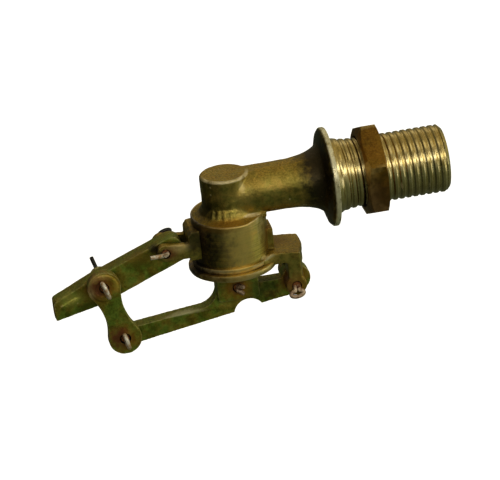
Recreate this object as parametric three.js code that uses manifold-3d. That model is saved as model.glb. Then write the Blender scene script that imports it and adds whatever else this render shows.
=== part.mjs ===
// A half-inch float valve with compound levers, built as the separate brass pieces it comes apart into.
// Millimetres. The origin is on the inlet thread's axis, in the flange face that seats on the tank wall.
// +X points out of the inlet, +Z is up, and the camera side of the levers is -Y.
import * as THREE from "three";
import { mergeVertices } from "three/addons/utils/BufferGeometryUtils.js";
import Module from "manifold-3d";

const wasm = await Module();
wasm.setup();

// Inlet shank: a half-inch pipe thread sets the scale of the whole valve.
const threadRadius = 10.475;
const shankLength = 35.6;
const shankChamfer = 1.1;
const inletBoreRadius = 6.5;
const inletBoreDepth = 31;
const inletBoreStep = 1.5;
const inletMouthDepth = 0.6;
const waterwayRadius = 4.9;
const drillPointDepth = 3;

// Flange that seats inside the tank wall, with its flared back.
const flangeRadius = 15.3;
const flangeRim = 1.5;
const flangeBackDepth = 3.2;
const flangeBackRadius = 11.4;
const flangeRimBevel = 0.6;
const flareLength = 8.6;

// Tube from the flange to the upright outlet.
const tubeRadius = 7.2;
const tubeLength = 32.8;

// Upright outlet: neck, shoulder, cylinder, collar and bottom ring, as heights below the inlet axis.
const neckRadius = 7.4;
const bossHeight = 7;
const bossFlatReach = 8.9;
const neckFootDrop = 2.4;
const ledgeDrop = 5.9;
const ledgeRadius = 10.2;
const cylinderRadius = 11.5;
const cylinderTopDrop = 6.3;
const collarRadius = 12.4;
const collarDrop = 20;
const ringRadius = 13.5;
const ringDrop = 21.6;
const ringFootBevel = 1.1;
const outletDrop = 23.9;
const chamberRadius = 8.5;
const chamberRoofDrop = 10;
const chamberMouthDepth = 0.6;
const downwayRadius = 4.3;

// Seat nozzle, held up into the roof of the chamber on a gasket.
const nozzleShankRadius = 6;
const nozzleShankLength = 3.4;
const nozzleFlangeRadius = 7.3;
const nozzleFlangeThickness = 1.4;
const nozzleLipRadius = 3.4;
const nozzleLipTaper = 1;
const nozzleMouthRadius = 4;
const orificeRadius = 2.4;
const gasketThickness = 1;

// Pads on the cylinder that carry the lug and the arm.
const leftPadProud = 2;
const leftPadTopDrop = 8;
const leftPadFootDrop = 17.9;
const leftPadHalfWidth = 5.4;
const rightPadProud = 1.6;
const rightPadTopDrop = 12.2;
const rightPadFootDrop = 20.5;
const rightPadHalfWidth = 3.6;

// Linkage at rest, with the float hanging down. Reaches and drops are from the outlet's upright axis
// and the inlet axis to each pivot.
const floatPivotReach = 21;
const floatPivotDrop = 14.1;
const floatLeverDroop = THREE.MathUtils.degToRad(20.9);
const floatLeverArm = 21.4;
const linkLength = 18.4;
const linkLean = 4.5;
const plungerPinDrop = 30.2;
const fulcrumReach = 17.8;
const fulcrumDrop = 31;
const closingAngle = THREE.MathUtils.degToRad(28);

// Float lever, drawn along its pivots' line: a flat bar set below that line, tapering to the float end.
const floatLeverThickness = 5.4;
const floatLeverHeight = 8.3;
const floatLeverDrop = 1.15;
const floatLeverTail = 5.6;
const tailTopRadius = 3;
const tailFootRadius = 1.5;
const taperStart = 24.8;
const endTopReach = 37.4;
const endTopRise = 1.7;
const endTopRadius = 2.2;
const endFootReach = 39.25;
const endFootDrop = 3.05;
const endFootRadius = 0.5;
const rodBossRadius = 3.2;
const rodBossDrop = 0.7;
const rodHoleRadius = 2.1;
const rodHoleDepth = 9;

// Link plate and lower lever.
const linkThickness = 3;
const linkEyeRadius = 5;
const linkWaist = 6.2;
const lowerLeverThickness = 4.4;
const lowerEyeRadius = 4;
const lowerBarRise = 1.5;
const lowerBarHubDrop = 5.3;
const lowerBarHubReach = 4.6;
const hubFilletRadius = 6;
const hubHalfLength = 6.6;
const hubThickness = 7;
const hubRise = 3.2;
const hubFootDrop = 4;
const hubCorner = 0.8;
const bellyDrop = 7.9;
const bellyReach = 1;
const lowerRightReach = 7.5;
const lowerRightFall = 5.4;
const lowerRightRise = 0.9;
const fulcrumEndRadius = 4.3;
const fulcrumEndShift = 0.8;
const scallopRadius = 5;
const scallopReach = 3.1;
const scallopDrop = 9.3;

// Fork ears cast on the body, and the arm that carries the fulcrum. The arm's top slopes down outwards.
const lugEarThickness = 2.4;
const lugEyeRadius = 3.1;
const lugRootTop = 1.4;
const lugRootBottom = 3.2;
const armHalfWidth = 7.4;
const armRootReach = 9;
const armTopDropAtRoot = 18.9;
const armTopDropAtEnd = 20.7;
const armUndersideDrop = 22.9;
const armFillet = 5;
const armCorner = 1;
const armInsideCorner = 0.8;
const armFrontReach = 1.9;
const armRearReach = 4.3;
const legInnerReach = 2.1;
const legEyeRadius = 3.2;
const legShoulder = 4;
const legShoulderRadius = 2;

// Split pins and washers.
const pinRadius = 1.2;
const pinWireRadius = 0.6;
const pinTipRadius = 0.54;
const pinLoopRadius = 1.7;
const pinLoopOut = 1.4;
const pinStandOff = 0.5;
const pinLegLength = 4.6;
const pinLegOffset = 0.35;
const pinLegSpread = THREE.MathUtils.degToRad(34);
const plungerLegTurn = 0.7;
const washerRadius = 3.9;
const washerThickness = 1;

// Plunger in the cylinder, its rubber disc and the cap that holds the disc.
const plungerClearance = 0.4;
const plungerGuideHeight = 2.6;
const plungerGuideTopDrop = 21.9;
const spigotRadius = 5.6;
const discThickness = 2.6;
const discTopDrop = 17;
const capWall = 1.3;
const capLip = 0.8;
const capOpeningRadius = 4.3;
const tongueThickness = 3;
const tongueWidth = 7.6;
const tongueBelowPin = 2.4;
const tongueCorner = 1.2;
const fluteRadius = 2.4;
const fluteOutset = 0.6;
const fluteCount = 4;

// Back nut on the shank. The side towards the flange is bevelled more than the other.
const nutAcrossFlats = 26.6;
const nutThickness = 6.4;
const nutFromFlange = 9;
const nutFaceRadius = 13.7;
const nutBevelDepth = 0.7;
const nutRearFaceRadius = 12.4;
const nutRearBevelDepth = 1.4;
const nutMouthDepth = 0.5;
const nutTurn = THREE.MathUtils.degToRad(23.8);

// Clearances, the small bevel on turned edges, and how far cutting shapes run past a face
// and joined shapes run into each other.
const fit = 0.3;
const pinHole = 0.35;
const linkPlay = 0.55;
const plungerPlay = 0.75;
const edgeBreak = 0.3;
const past = 1;
const overlap = 0.5;
const padRoot = 1.5;

// Facets round a full turn on bodies, on bores, on eyes and on pins.
const roundLarge = 48;
const roundBore = 36;
const roundEye = 28;
const roundSmall = 20;
const roundWire = 8;
const loopSteps = 16;

const outletX = -tubeLength;

// Solids

function asSolid(geometry) {
  const plain = geometry.index ? geometry.toNonIndexed() : geometry.clone();
  plain.deleteAttribute("normal");
  plain.deleteAttribute("uv");
  const merged = mergeVertices(plain, 1e-4);
  const index = merged.index.array;
  const positions = merged.attributes.position.array;
  const triangles = [];
  let volume = 0;
  const corner = [new THREE.Vector3(), new THREE.Vector3(), new THREE.Vector3()];
  for (let i = 0; i < index.length; i += 3) {
    const [a, b, c] = [index[i], index[i + 1], index[i + 2]];
    if (a === b || b === c || c === a) continue;
    triangles.push(a, b, c);
    [a, b, c].forEach((vertex, k) => corner[k].fromArray(positions, 3 * vertex));
    volume += corner[0].dot(corner[1].clone().cross(corner[2]));
  }
  if (volume < 0) triangles.reverse();
  const vertProperties = new Float32Array(positions);
  const triVerts = new Uint32Array(triangles);
  return new wasm.Manifold(new wasm.Mesh({ numProp: 3, vertProperties, triVerts }));
}

function asGeometry(manifold) {
  const mesh = manifold.getMesh();
  const geometry = new THREE.BufferGeometry();
  geometry.setAttribute("position", new THREE.BufferAttribute(new Float32Array(mesh.vertProperties), 3));
  geometry.setIndex(new THREE.BufferAttribute(new Uint32Array(mesh.triVerts), 1));
  const faceted = geometry.toNonIndexed();
  faceted.computeVertexNormals();
  return faceted;
}

function joined(solids) {
  return solids.reduce((whole, solid) => whole.add(solid));
}

function cut(solid, tools) {
  return tools.reduce((rest, tool) => rest.subtract(tool), solid);
}

// A profile of [radius, height] points turned about the upright Z axis at x.
function turnedUpright(profile, x, facets = roundLarge) {
  const points = profile.map(([radius, height]) => new THREE.Vector2(radius, height));
  const geometry = new THREE.LatheGeometry(points, facets);
  geometry.rotateX(Math.PI / 2);
  geometry.translate(x, 0, 0);
  return asSolid(geometry);
}

// A profile of [radius, x] points turned about the inlet's X axis.
function turnedAlong(profile, facets = roundLarge) {
  const points = profile.map(([radius, x]) => new THREE.Vector2(radius, x));
  const geometry = new THREE.LatheGeometry(points, facets);
  geometry.rotateZ(-Math.PI / 2);
  return asSolid(geometry);
}

// A shape drawn in X and Z, made into a plate between two Y values.
function plate(shape, fromY, toY, curveSegments = 8) {
  const depth = toY - fromY;
  const geometry = new THREE.ExtrudeGeometry(shape, { depth, bevelEnabled: false, curveSegments });
  geometry.rotateX(Math.PI / 2);
  geometry.translate(0, toY, 0);
  return asSolid(geometry);
}

// A shape drawn in X and Y, raised between two Z values.
function slab(shape, fromZ, toZ, curveSegments = 12) {
  const depth = toZ - fromZ;
  const geometry = new THREE.ExtrudeGeometry(shape, { depth, bevelEnabled: false, curveSegments });
  geometry.translate(0, 0, fromZ);
  return asSolid(geometry);
}

function block(low, high) {
  const size = high.map((value, axis) => value - low[axis]);
  const geometry = new THREE.BoxGeometry(...size);
  geometry.translate(...low.map((value, axis) => value + size[axis] / 2));
  return asSolid(geometry);
}

// A round bar along Y through the pivot.
function crossBar(pivot, radius, fromY, toY, facets = roundSmall) {
  const geometry = new THREE.CylinderGeometry(radius, radius, toY - fromY, facets);
  geometry.translate(pivot.x, (fromY + toY) / 2, pivot.z);
  return asSolid(geometry);
}

// A closed outline of [x, z, corner radius] points, each corner rounded by an arc.
function rounded(corners) {
  const shape = new THREE.Shape();
  corners.forEach(([x, y, radius], i) => {
    const here = new THREE.Vector2(x, y);
    const before = new THREE.Vector2(...corners[(i + corners.length - 1) % corners.length]);
    const after = new THREE.Vector2(...corners[(i + 1) % corners.length]);
    const back = before.sub(here).normalize();
    const ahead = after.sub(here).normalize();
    const half = Math.acos(THREE.MathUtils.clamp(back.dot(ahead), -1, 1)) / 2;
    const reach = radius / Math.tan(half);
    const start = here.clone().addScaledVector(back, reach);
    const end = here.clone().addScaledVector(ahead, reach);
    if (i === 0) shape.moveTo(start.x, start.y);
    else shape.lineTo(start.x, start.y);
    if (radius === 0) return;
    const bisector = back.clone().add(ahead).normalize();
    const centre = here.clone().addScaledVector(bisector, radius / Math.sin(half));
    const from = start.clone().sub(centre);
    const to = end.clone().sub(centre);
    shape.absarc(centre.x, centre.y, radius, from.angle(), to.angle(), back.cross(ahead) > 0);
  });
  shape.closePath();
  return shape;
}

// Linkage: the pivots at rest, and where they go as the float lever rises.

const floatPivot = { x: outletX - floatPivotReach, z: -floatPivotDrop };
const fulcrum = { x: outletX + fulcrumReach, z: -fulcrumDrop };
const plungerPivot = { x: outletX, z: -plungerPinDrop };
const leverAxis = { x: -Math.cos(floatLeverDroop), z: -Math.sin(floatLeverDroop) };
const linkTop = {
  x: floatPivot.x + floatLeverArm * leverAxis.x,
  z: floatPivot.z + floatLeverArm * leverAxis.z,
};
const linkFoot = {
  x: linkTop.x + linkLean,
  z: linkTop.z - Math.sqrt(linkLength ** 2 - linkLean ** 2),
};
const lowerLeverArm = Math.hypot(linkFoot.x - fulcrum.x, linkFoot.z - fulcrum.z);
const lowerLeverAtRest = Math.atan2(linkFoot.z - fulcrum.z, fulcrum.x - linkFoot.x);

function lowerLeverTurn(floatAngle) {
  const drop = floatLeverDroop - floatAngle;
  const top = {
    x: floatPivot.x - floatLeverArm * Math.cos(drop),
    z: floatPivot.z - floatLeverArm * Math.sin(drop),
  };
  const across = fulcrum.x - top.x;
  const up = top.z - fulcrum.z;
  const span = Math.hypot(across, up);
  const cosine = (span ** 2 + lowerLeverArm ** 2 - linkLength ** 2) / (2 * span * lowerLeverArm);
  return Math.atan2(up, across) - Math.acos(cosine) - lowerLeverAtRest;
}

const closingTurn = lowerLeverTurn(closingAngle);
const plungerArm = Math.hypot(plungerPivot.x - fulcrum.x, plungerPivot.z - fulcrum.z);
const plungerAtRest = Math.atan2(plungerPivot.z - fulcrum.z, fulcrum.x - plungerPivot.x);
const stroke = plungerArm * (Math.sin(plungerAtRest + closingTurn) - Math.sin(plungerAtRest));

// Body

function shankAndTube() {
  const flareSteps = 6;
  const flare = [];
  for (let i = 0; i <= flareSteps; i += 1) {
    const turn = (Math.PI / 2) * (i / flareSteps);
    const radius = tubeRadius + (flangeBackRadius - tubeRadius) * (1 - Math.sin(turn));
    flare.push([radius, -flangeBackDepth - flareLength * (1 - Math.cos(turn))]);
  }
  return turnedAlong([
    [0, shankLength],
    [threadRadius - shankChamfer, shankLength],
    [threadRadius, shankLength - shankChamfer],
    [threadRadius, 0],
    [flangeRadius - edgeBreak, 0],
    [flangeRadius, -edgeBreak],
    [flangeRadius, -flangeRim],
    [flangeRadius - flangeRimBevel, -flangeRim - flangeRimBevel],
    ...flare,
    [tubeRadius, outletX + past],
    [0, outletX + past],
  ]);
}

function uprightOutlet() {
  const fillet = [];
  const filletSteps = 4;
  for (let i = 0; i <= filletSteps; i += 1) {
    const turn = (Math.PI / 2) * (i / filletSteps);
    const radius = neckRadius + (ledgeRadius - neckRadius) * (1 - Math.cos(turn));
    fillet.push([radius, -neckFootDrop - (ledgeDrop - neckFootDrop) * Math.sin(turn)]);
  }
  return turnedUpright([
    [0, bossHeight],
    [neckRadius - edgeBreak, bossHeight],
    [neckRadius, bossHeight - edgeBreak],
    ...fillet,
    [cylinderRadius - edgeBreak, -cylinderTopDrop],
    [cylinderRadius, -cylinderTopDrop - edgeBreak],
    [cylinderRadius, -collarDrop],
    [collarRadius - edgeBreak, -collarDrop],
    [collarRadius, -collarDrop - edgeBreak],
    [collarRadius, -ringDrop],
    [ringRadius - edgeBreak, -ringDrop],
    [ringRadius, -ringDrop - edgeBreak],
    [ringRadius, -outletDrop + ringFootBevel],
    [ringRadius - ringFootBevel, -outletDrop],
    [0, -outletDrop],
  ], outletX);
}

// The arm's plan: a strip that runs into the collar with a fillet on each side. Its outer end is
// slanted, so the rear ear is wider than the front one.
function armPlan() {
  const shape = new THREE.Shape();
  const filletX = Math.sqrt((collarRadius + armFillet) ** 2 - (armHalfWidth + armFillet) ** 2);
  const meet = Math.atan2(armHalfWidth + armFillet, filletX);
  shape.moveTo(outletX, 0);
  shape.lineTo(outletX + collarRadius * Math.cos(meet), -collarRadius * Math.sin(meet));
  shape.absarc(outletX + filletX, -armHalfWidth - armFillet, armFillet, Math.PI - meet, Math.PI / 2, true);
  shape.lineTo(fulcrum.x + armFrontReach, -armHalfWidth);
  shape.lineTo(fulcrum.x + armRearReach, lowerLeverThickness / 2);
  shape.lineTo(fulcrum.x + armRearReach, armHalfWidth);
  shape.lineTo(outletX + filletX, armHalfWidth);
  shape.absarc(outletX + filletX, armHalfWidth + armFillet, armFillet, -Math.PI / 2, meet - Math.PI, true);
  shape.closePath();
  return slab(shape, -fulcrumDrop - armHalfWidth, 0, 6);
}

// The arm's side view: along the sloping top, round the corner and down to the fulcrum.
function armSide() {
  return plate(rounded([
    [outletX + armRootReach, -armTopDropAtRoot, 0],
    [outletX + armRootReach, -armUndersideDrop, 0],
    [fulcrum.x - legInnerReach, -armUndersideDrop, armInsideCorner],
    [fulcrum.x - legInnerReach, fulcrum.z, 0],
    [fulcrum.x + legEyeRadius - edgeBreak, fulcrum.z, 0],
    [fulcrum.x + armRearReach, fulcrum.z + legShoulder, legShoulderRadius],
    [fulcrum.x + armRearReach, -armTopDropAtEnd, armCorner],
  ]), -armHalfWidth, armHalfWidth, 4);
}

function armFork() {
  const slotHalf = lowerLeverThickness / 2 + fit;
  const slot = block(
    [fulcrum.x - 2 * legEyeRadius, -slotHalf, -fulcrumDrop - 2 * legEyeRadius],
    [fulcrum.x + 2 * legEyeRadius, slotHalf, -armUndersideDrop],
  );
  const eyes = crossBar(fulcrum, legEyeRadius, -armHalfWidth, armHalfWidth, roundEye);
  return armSide().intersect(armPlan()).add(eyes).subtract(slot);
}

// One ear of the left lug in side view, from the cylinder down to the float lever's pivot.
function lugEar(side) {
  const root = outletX - cylinderRadius + padRoot;
  const innerY = floatLeverThickness / 2 + fit;
  const outerY = innerY + lugEarThickness;
  const [fromY, toY] = side < 0 ? [-outerY, -innerY] : [innerY, outerY];
  const web = plate(rounded([
    [root, floatPivot.z + lugRootTop, 0],
    [floatPivot.x, floatPivot.z + lugEyeRadius, 0],
    [floatPivot.x, floatPivot.z - lugEyeRadius, 0],
    [root, floatPivot.z - lugRootBottom, 0],
  ]), fromY, toY);
  return web.add(crossBar(floatPivot, lugEyeRadius, fromY, toY, roundEye));
}

function pads() {
  const left = block(
    [outletX - cylinderRadius - leftPadProud, -leftPadHalfWidth, -leftPadFootDrop],
    [outletX - cylinderRadius + padRoot, leftPadHalfWidth, -leftPadTopDrop],
  );
  const right = block(
    [outletX + cylinderRadius - padRoot, -rightPadHalfWidth, -rightPadFootDrop],
    [outletX + cylinderRadius + rightPadProud, rightPadHalfWidth, -rightPadTopDrop],
  );
  return left.add(right);
}

function waterway() {
  const inlet = turnedAlong([
    [0, shankLength + past],
    [inletBoreRadius + inletMouthDepth + past, shankLength + past],
    [inletBoreRadius, shankLength - inletMouthDepth],
    [inletBoreRadius, shankLength - inletBoreDepth],
    [waterwayRadius, shankLength - inletBoreDepth - inletBoreStep],
    [waterwayRadius, outletX],
    [0, outletX - drillPointDepth],
  ], roundBore);
  const socketRadius = nozzleShankRadius + fit;
  const socketTop = -chamberRoofDrop + nozzleShankLength + fit;
  const down = turnedUpright([
    [0, 0],
    [downwayRadius, 0],
    [downwayRadius, socketTop],
    [socketRadius, socketTop],
    [socketRadius, -chamberRoofDrop],
    [chamberRadius, -chamberRoofDrop],
    [chamberRadius, -outletDrop + chamberMouthDepth],
    [chamberRadius + chamberMouthDepth + past, -outletDrop - past],
    [0, -outletDrop - past],
  ], outletX, roundBore);
  return inlet.add(down);
}

function valveBody() {
  const filedFlat = block(
    [outletX - 2 * neckRadius, -2 * neckRadius, bossHeight],
    [outletX + bossFlatReach, 2 * neckRadius, 2 * bossHeight],
  );
  const casting = joined([
    shankAndTube(),
    uprightOutlet(),
    pads(),
    armFork(),
    lugEar(-1),
    lugEar(1),
  ]);
  const holeRadius = pinRadius + pinHole;
  return cut(casting, [
    filedFlat,
    waterway(),
    crossBar(floatPivot, holeRadius, -2 * armHalfWidth, 2 * armHalfWidth),
    crossBar(fulcrum, holeRadius, -2 * armHalfWidth, 2 * armHalfWidth),
  ]);
}

// Back nut

function backNut() {
  const corner = nutAcrossFlats / Math.sqrt(3);
  const nutFar = nutFromFlange + nutThickness;
  const hexagon = new THREE.CylinderGeometry(corner, corner, nutThickness, 6);
  hexagon.rotateY(-Math.PI / 2 - nutTurn);
  hexagon.rotateZ(-Math.PI / 2);
  hexagon.translate(nutFromFlange + nutThickness / 2, 0, 0);
  const bevel = turnedAlong([
    [0, nutFromFlange],
    [nutRearFaceRadius, nutFromFlange],
    [corner, nutFromFlange + nutRearBevelDepth],
    [corner, nutFar - nutBevelDepth],
    [nutFaceRadius, nutFar],
    [0, nutFar],
  ]);
  const boreRadius = threadRadius + fit;
  const bore = turnedAlong([
    [0, nutFromFlange - past],
    [boreRadius + nutMouthDepth + past, nutFromFlange - past],
    [boreRadius, nutFromFlange + nutMouthDepth],
    [boreRadius, nutFar - nutMouthDepth],
    [boreRadius + nutMouthDepth + past, nutFar + past],
    [0, nutFar + past],
  ]);
  return asSolid(hexagon).intersect(bevel).subtract(bore);
}

// Nozzle and gasket in the roof of the chamber

const gasketBottom = -chamberRoofDrop - gasketThickness;
const nozzleFlangeBottom = gasketBottom - nozzleFlangeThickness;
const lipBottom = -discTopDrop + stroke + fit;

function seatNozzle() {
  return turnedUpright([
    [orificeRadius, lipBottom],
    [nozzleLipRadius - edgeBreak, lipBottom],
    [nozzleLipRadius, lipBottom + edgeBreak],
    [nozzleLipRadius + nozzleLipTaper, nozzleFlangeBottom],
    [nozzleFlangeRadius, nozzleFlangeBottom],
    [nozzleFlangeRadius, gasketBottom],
    [nozzleShankRadius, gasketBottom],
    [nozzleShankRadius, -chamberRoofDrop + nozzleShankLength],
    [nozzleMouthRadius, -chamberRoofDrop + nozzleShankLength],
    [orificeRadius, gasketBottom],
    [orificeRadius, lipBottom],
  ], outletX, roundBore);
}

function nozzleGasket() {
  const inner = nozzleShankRadius + fit;
  return turnedUpright([
    [inner, gasketBottom],
    [nozzleFlangeRadius, gasketBottom],
    [nozzleFlangeRadius, -chamberRoofDrop],
    [inner, -chamberRoofDrop],
    [inner, gasketBottom],
  ], outletX, roundBore);
}

// Plunger, rubber disc and cap

const discBottom = -discTopDrop - discThickness;
const guideTop = -plungerGuideTopDrop;
const guideBottom = guideTop - plungerGuideHeight;
const capInner = spigotRadius + fit;
const guideRadius = chamberRadius - plungerClearance;

function plunger() {
  const turnedPart = turnedUpright([
    [0, discBottom],
    [spigotRadius, discBottom],
    [spigotRadius, guideTop],
    [guideRadius, guideTop],
    [guideRadius, guideBottom],
    [0, guideBottom],
  ], outletX, roundBore);
  const flutes = [];
  for (let i = 0; i < fluteCount; i += 1) {
    const turn = (2 * Math.PI * (i + 0.5)) / fluteCount;
    const flute = new THREE.CylinderGeometry(fluteRadius, fluteRadius, 2 * plungerGuideHeight, roundSmall);
    flute.rotateX(Math.PI / 2);
    flute.translate(
      outletX + (guideRadius + fluteOutset) * Math.cos(turn),
      (guideRadius + fluteOutset) * Math.sin(turn),
      guideTop - plungerGuideHeight / 2,
    );
    flutes.push(asSolid(flute));
  }
  const tongueLow = plungerPivot.z - tongueBelowPin;
  const tongue = plate(rounded([
    [outletX - tongueWidth / 2, guideBottom + overlap, 0],
    [outletX - tongueWidth / 2, tongueLow, tongueCorner],
    [outletX + tongueWidth / 2, tongueLow, tongueCorner],
    [outletX + tongueWidth / 2, guideBottom + overlap, 0],
  ]), -tongueThickness / 2, tongueThickness / 2);
  const eye = new THREE.Shape();
  const holeRadius = pinRadius + pinHole;
  eye.absarc(plungerPivot.x + plungerPlay, plungerPivot.z, holeRadius, -Math.PI / 2, Math.PI / 2);
  eye.absarc(plungerPivot.x - pinHole, plungerPivot.z, holeRadius, Math.PI / 2, (3 * Math.PI) / 2);
  eye.closePath();
  return cut(turnedPart, flutes).add(tongue).subtract(plate(eye, -tongueThickness, tongueThickness));
}

function seatDisc() {
  return turnedUpright([
    [0, -discTopDrop],
    [spigotRadius, -discTopDrop],
    [spigotRadius, discBottom],
    [0, discBottom],
  ], outletX, roundBore);
}

function discCap() {
  const outer = capInner + capWall;
  return turnedUpright([
    [capInner, guideTop + fit],
    [outer, guideTop + fit],
    [outer, -discTopDrop + capLip - edgeBreak],
    [outer - edgeBreak, -discTopDrop + capLip],
    [capOpeningRadius, -discTopDrop + capLip],
    [capOpeningRadius, -discTopDrop],
    [capInner, -discTopDrop],
    [capInner, guideTop + fit],
  ], outletX, roundBore);
}

// Float lever: drawn level with its pivot at the origin and its float end towards -X, then tilted.

function floatLever() {
  const top = floatLeverHeight / 2 - floatLeverDrop;
  const foot = -floatLeverHeight / 2 - floatLeverDrop;
  const bar = plate(rounded([
    [floatLeverTail, top, tailTopRadius],
    [-taperStart, top, 0],
    [-endTopReach, endTopRise, endTopRadius],
    [-endFootReach, -endFootDrop, endFootRadius],
    [-taperStart, foot, 0],
    [floatLeverTail, foot, tailFootRadius],
  ]), -floatLeverThickness / 2, floatLeverThickness / 2);
  const bossStart = floatLeverArm + linkEyeRadius + 2 * fit;
  const bossEnd = endFootReach;
  const boss = new THREE.LatheGeometry([
    new THREE.Vector2(0, bossStart),
    new THREE.Vector2(floatLeverThickness / 2, bossStart),
    new THREE.Vector2(rodBossRadius, bossStart + rodBossRadius),
    new THREE.Vector2(rodBossRadius, endTopReach - endTopRadius),
    new THREE.Vector2(floatLeverThickness / 2, bossEnd),
    new THREE.Vector2(0, bossEnd),
  ], roundEye);
  boss.rotateZ(Math.PI / 2);
  boss.translate(0, 0, -rodBossDrop);
  const hole = new THREE.CylinderGeometry(rodHoleRadius, rodHoleRadius, rodHoleDepth + past, roundSmall);
  hole.rotateZ(Math.PI / 2);
  hole.translate(-endFootReach + (rodHoleDepth - past) / 2, 0, -rodBossDrop);
  const holeRadius = pinRadius + pinHole;
  const level = cut(bar.add(asSolid(boss)), [
    asSolid(hole),
    crossBar({ x: 0, z: 0 }, holeRadius, -floatLeverThickness, floatLeverThickness),
    crossBar({ x: -floatLeverArm, z: 0 }, holeRadius, -floatLeverThickness, floatLeverThickness),
  ]);
  const tilted = asGeometry(level);
  tilted.rotateY(-floatLeverDroop);
  tilted.translate(floatPivot.x, 0, floatPivot.z);
  const endFace = floatPivot.x + endFootReach * leverAxis.x + endFootDrop * -leverAxis.z;
  const beyond = block(
    [endFace - endFootReach, -endFootReach, floatPivot.z - endFootReach],
    [endFace, endFootReach, floatPivot.z + endFootReach],
  );
  return asSolid(tilted).subtract(beyond);
}

// Link plate: two eyes joined by flanks that curve in to the waist.

const linkFrontY = -(floatLeverThickness / 2 + fit + linkThickness);

function linkPlate() {
  const half = linkLength / 2;
  const waist = linkWaist / 2;
  const flank = (half ** 2 + waist ** 2 - linkEyeRadius ** 2) / (2 * (linkEyeRadius - waist));
  const meet = Math.atan2(waist + flank, half);
  const shape = new THREE.Shape();
  shape.absarc(0, 0, linkEyeRadius, meet, 2 * Math.PI - meet);
  shape.absarc(half, -waist - flank, flank, Math.PI - meet, meet, true);
  shape.absarc(linkLength, 0, linkEyeRadius, meet - Math.PI, Math.PI - meet);
  shape.absarc(half, waist + flank, flank, -meet, meet - Math.PI, true);
  shape.closePath();
  const blank = plate(shape, linkFrontY, linkFrontY + linkThickness, 10);
  const level = cut(blank, [
    crossBar({ x: 0, z: 0 }, pinRadius + pinHole, 2 * linkFrontY, 0),
    crossBar({ x: linkLength, z: 0 }, pinRadius + linkPlay, 2 * linkFrontY, 0),
  ]);
  const hung = asGeometry(level);
  hung.rotateY(Math.atan2(linkTop.z - linkFoot.z, linkFoot.x - linkTop.x));
  hung.translate(linkTop.x, 0, linkTop.z);
  return asSolid(hung);
}

// Lower lever: a cranked bar from the link foot to the hub under the plunger and on to the fulcrum.

function lowerLever() {
  const half = lowerLeverThickness / 2;
  const hubLeft = plungerPivot.x - hubHalfLength;
  const hubRight = plungerPivot.x + hubHalfLength;
  const hubTop = plungerPivot.z + hubRise;
  const bar = plate(rounded([
    [linkFoot.x, linkFoot.z + lowerBarRise, 0],
    [linkFoot.x, linkFoot.z - lowerEyeRadius, 0],
    [plungerPivot.x - bellyReach, plungerPivot.z - bellyDrop, 0],
    [plungerPivot.x + lowerRightReach, fulcrum.z - lowerRightFall, hubCorner],
    [fulcrum.x + fulcrumEndShift, fulcrum.z - fulcrumEndRadius, 0],
    [fulcrum.x + fulcrumEndShift, fulcrum.z + lowerRightRise, 0],
    [hubRight, fulcrum.z + lowerRightRise, hubCorner],
    [hubRight, hubTop, hubCorner],
    [hubLeft, hubTop, hubCorner],
    [hubLeft, plungerPivot.z - hubFootDrop, hubFilletRadius],
    [hubLeft - lowerBarHubReach, plungerPivot.z - lowerBarHubDrop, 0],
  ]), -half, half);
  const hub = plate(rounded([
    [hubLeft, hubTop, hubCorner],
    [hubLeft, plungerPivot.z - hubFootDrop, hubCorner],
    [hubRight, plungerPivot.z - hubFootDrop, hubCorner],
    [hubRight, hubTop, hubCorner],
  ]), -hubThickness / 2, hubThickness / 2);
  const eye = crossBar(linkFoot, lowerEyeRadius, -half, half, roundEye);
  const end = { x: fulcrum.x + fulcrumEndShift, z: fulcrum.z };
  const boss = crossBar(end, fulcrumEndRadius, -half, half, roundEye);
  // The hub leans by the closing turn while the tongue stays upright, so the slot has room for that.
  const lean = Math.sin(closingTurn);
  const tongueReach = tongueWidth / 2 + plungerPlay;
  const slotHalf = tongueThickness / 2 + fit;
  const slotEnd = tongueReach + hubRise * lean + fit;
  const slot = block(
    [plungerPivot.x - slotEnd, -slotHalf, plungerPivot.z - tongueBelowPin - tongueReach * lean - fit],
    [plungerPivot.x + slotEnd, slotHalf, hubTop + past],
  );
  const scallopCentre = { x: plungerPivot.x + scallopReach, z: plungerPivot.z - scallopDrop };
  const scallop = crossBar(scallopCentre, scallopRadius, -hubThickness, hubThickness, roundBore);
  const holeRadius = pinRadius + pinHole;
  return cut(joined([bar, hub, eye, boss]), [
    slot,
    scallop,
    crossBar(linkFoot, holeRadius, -hubThickness, hubThickness),
    crossBar(plungerPivot, holeRadius, -hubThickness, hubThickness),
    crossBar(fulcrum, holeRadius, -hubThickness, hubThickness),
  ]);
}

// Split pins and washers

// A split pin across the pivot. The loop stands off one side and the two legs spread on the other.
// loopTurn turns the loop's plane about the pin, and each leg angle says which way that leg spreads.
function splitPin(pivot, frontY, rearY, loopSide, loopTurn, legTurns) {
  const from = frontY - pinStandOff;
  const to = rearY + pinStandOff;
  const loop = new THREE.TorusGeometry(pinLoopRadius, pinWireRadius, roundWire, loopSteps);
  loop.rotateY(Math.PI / 2 + loopTurn);
  loop.translate(pivot.x, loopSide < 0 ? from - pinLoopOut : to + pinLoopOut, pivot.z);
  const legs = legTurns.map((turn) => {
    const leg = new THREE.CylinderGeometry(pinTipRadius, pinWireRadius, pinLegLength, roundWire);
    leg.translate(0, pinLegLength / 2, 0);
    if (loopSide > 0) leg.rotateX(Math.PI);
    leg.rotateX(loopSide > 0 ? -pinLegSpread : pinLegSpread);
    leg.translate(0, 0, pinLegOffset);
    leg.rotateY(turn);
    leg.translate(pivot.x, loopSide < 0 ? to - fit : from + fit, pivot.z);
    return asSolid(leg);
  });
  return joined([crossBar(pivot, pinRadius, from, to), asSolid(loop), ...legs]);
}

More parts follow.
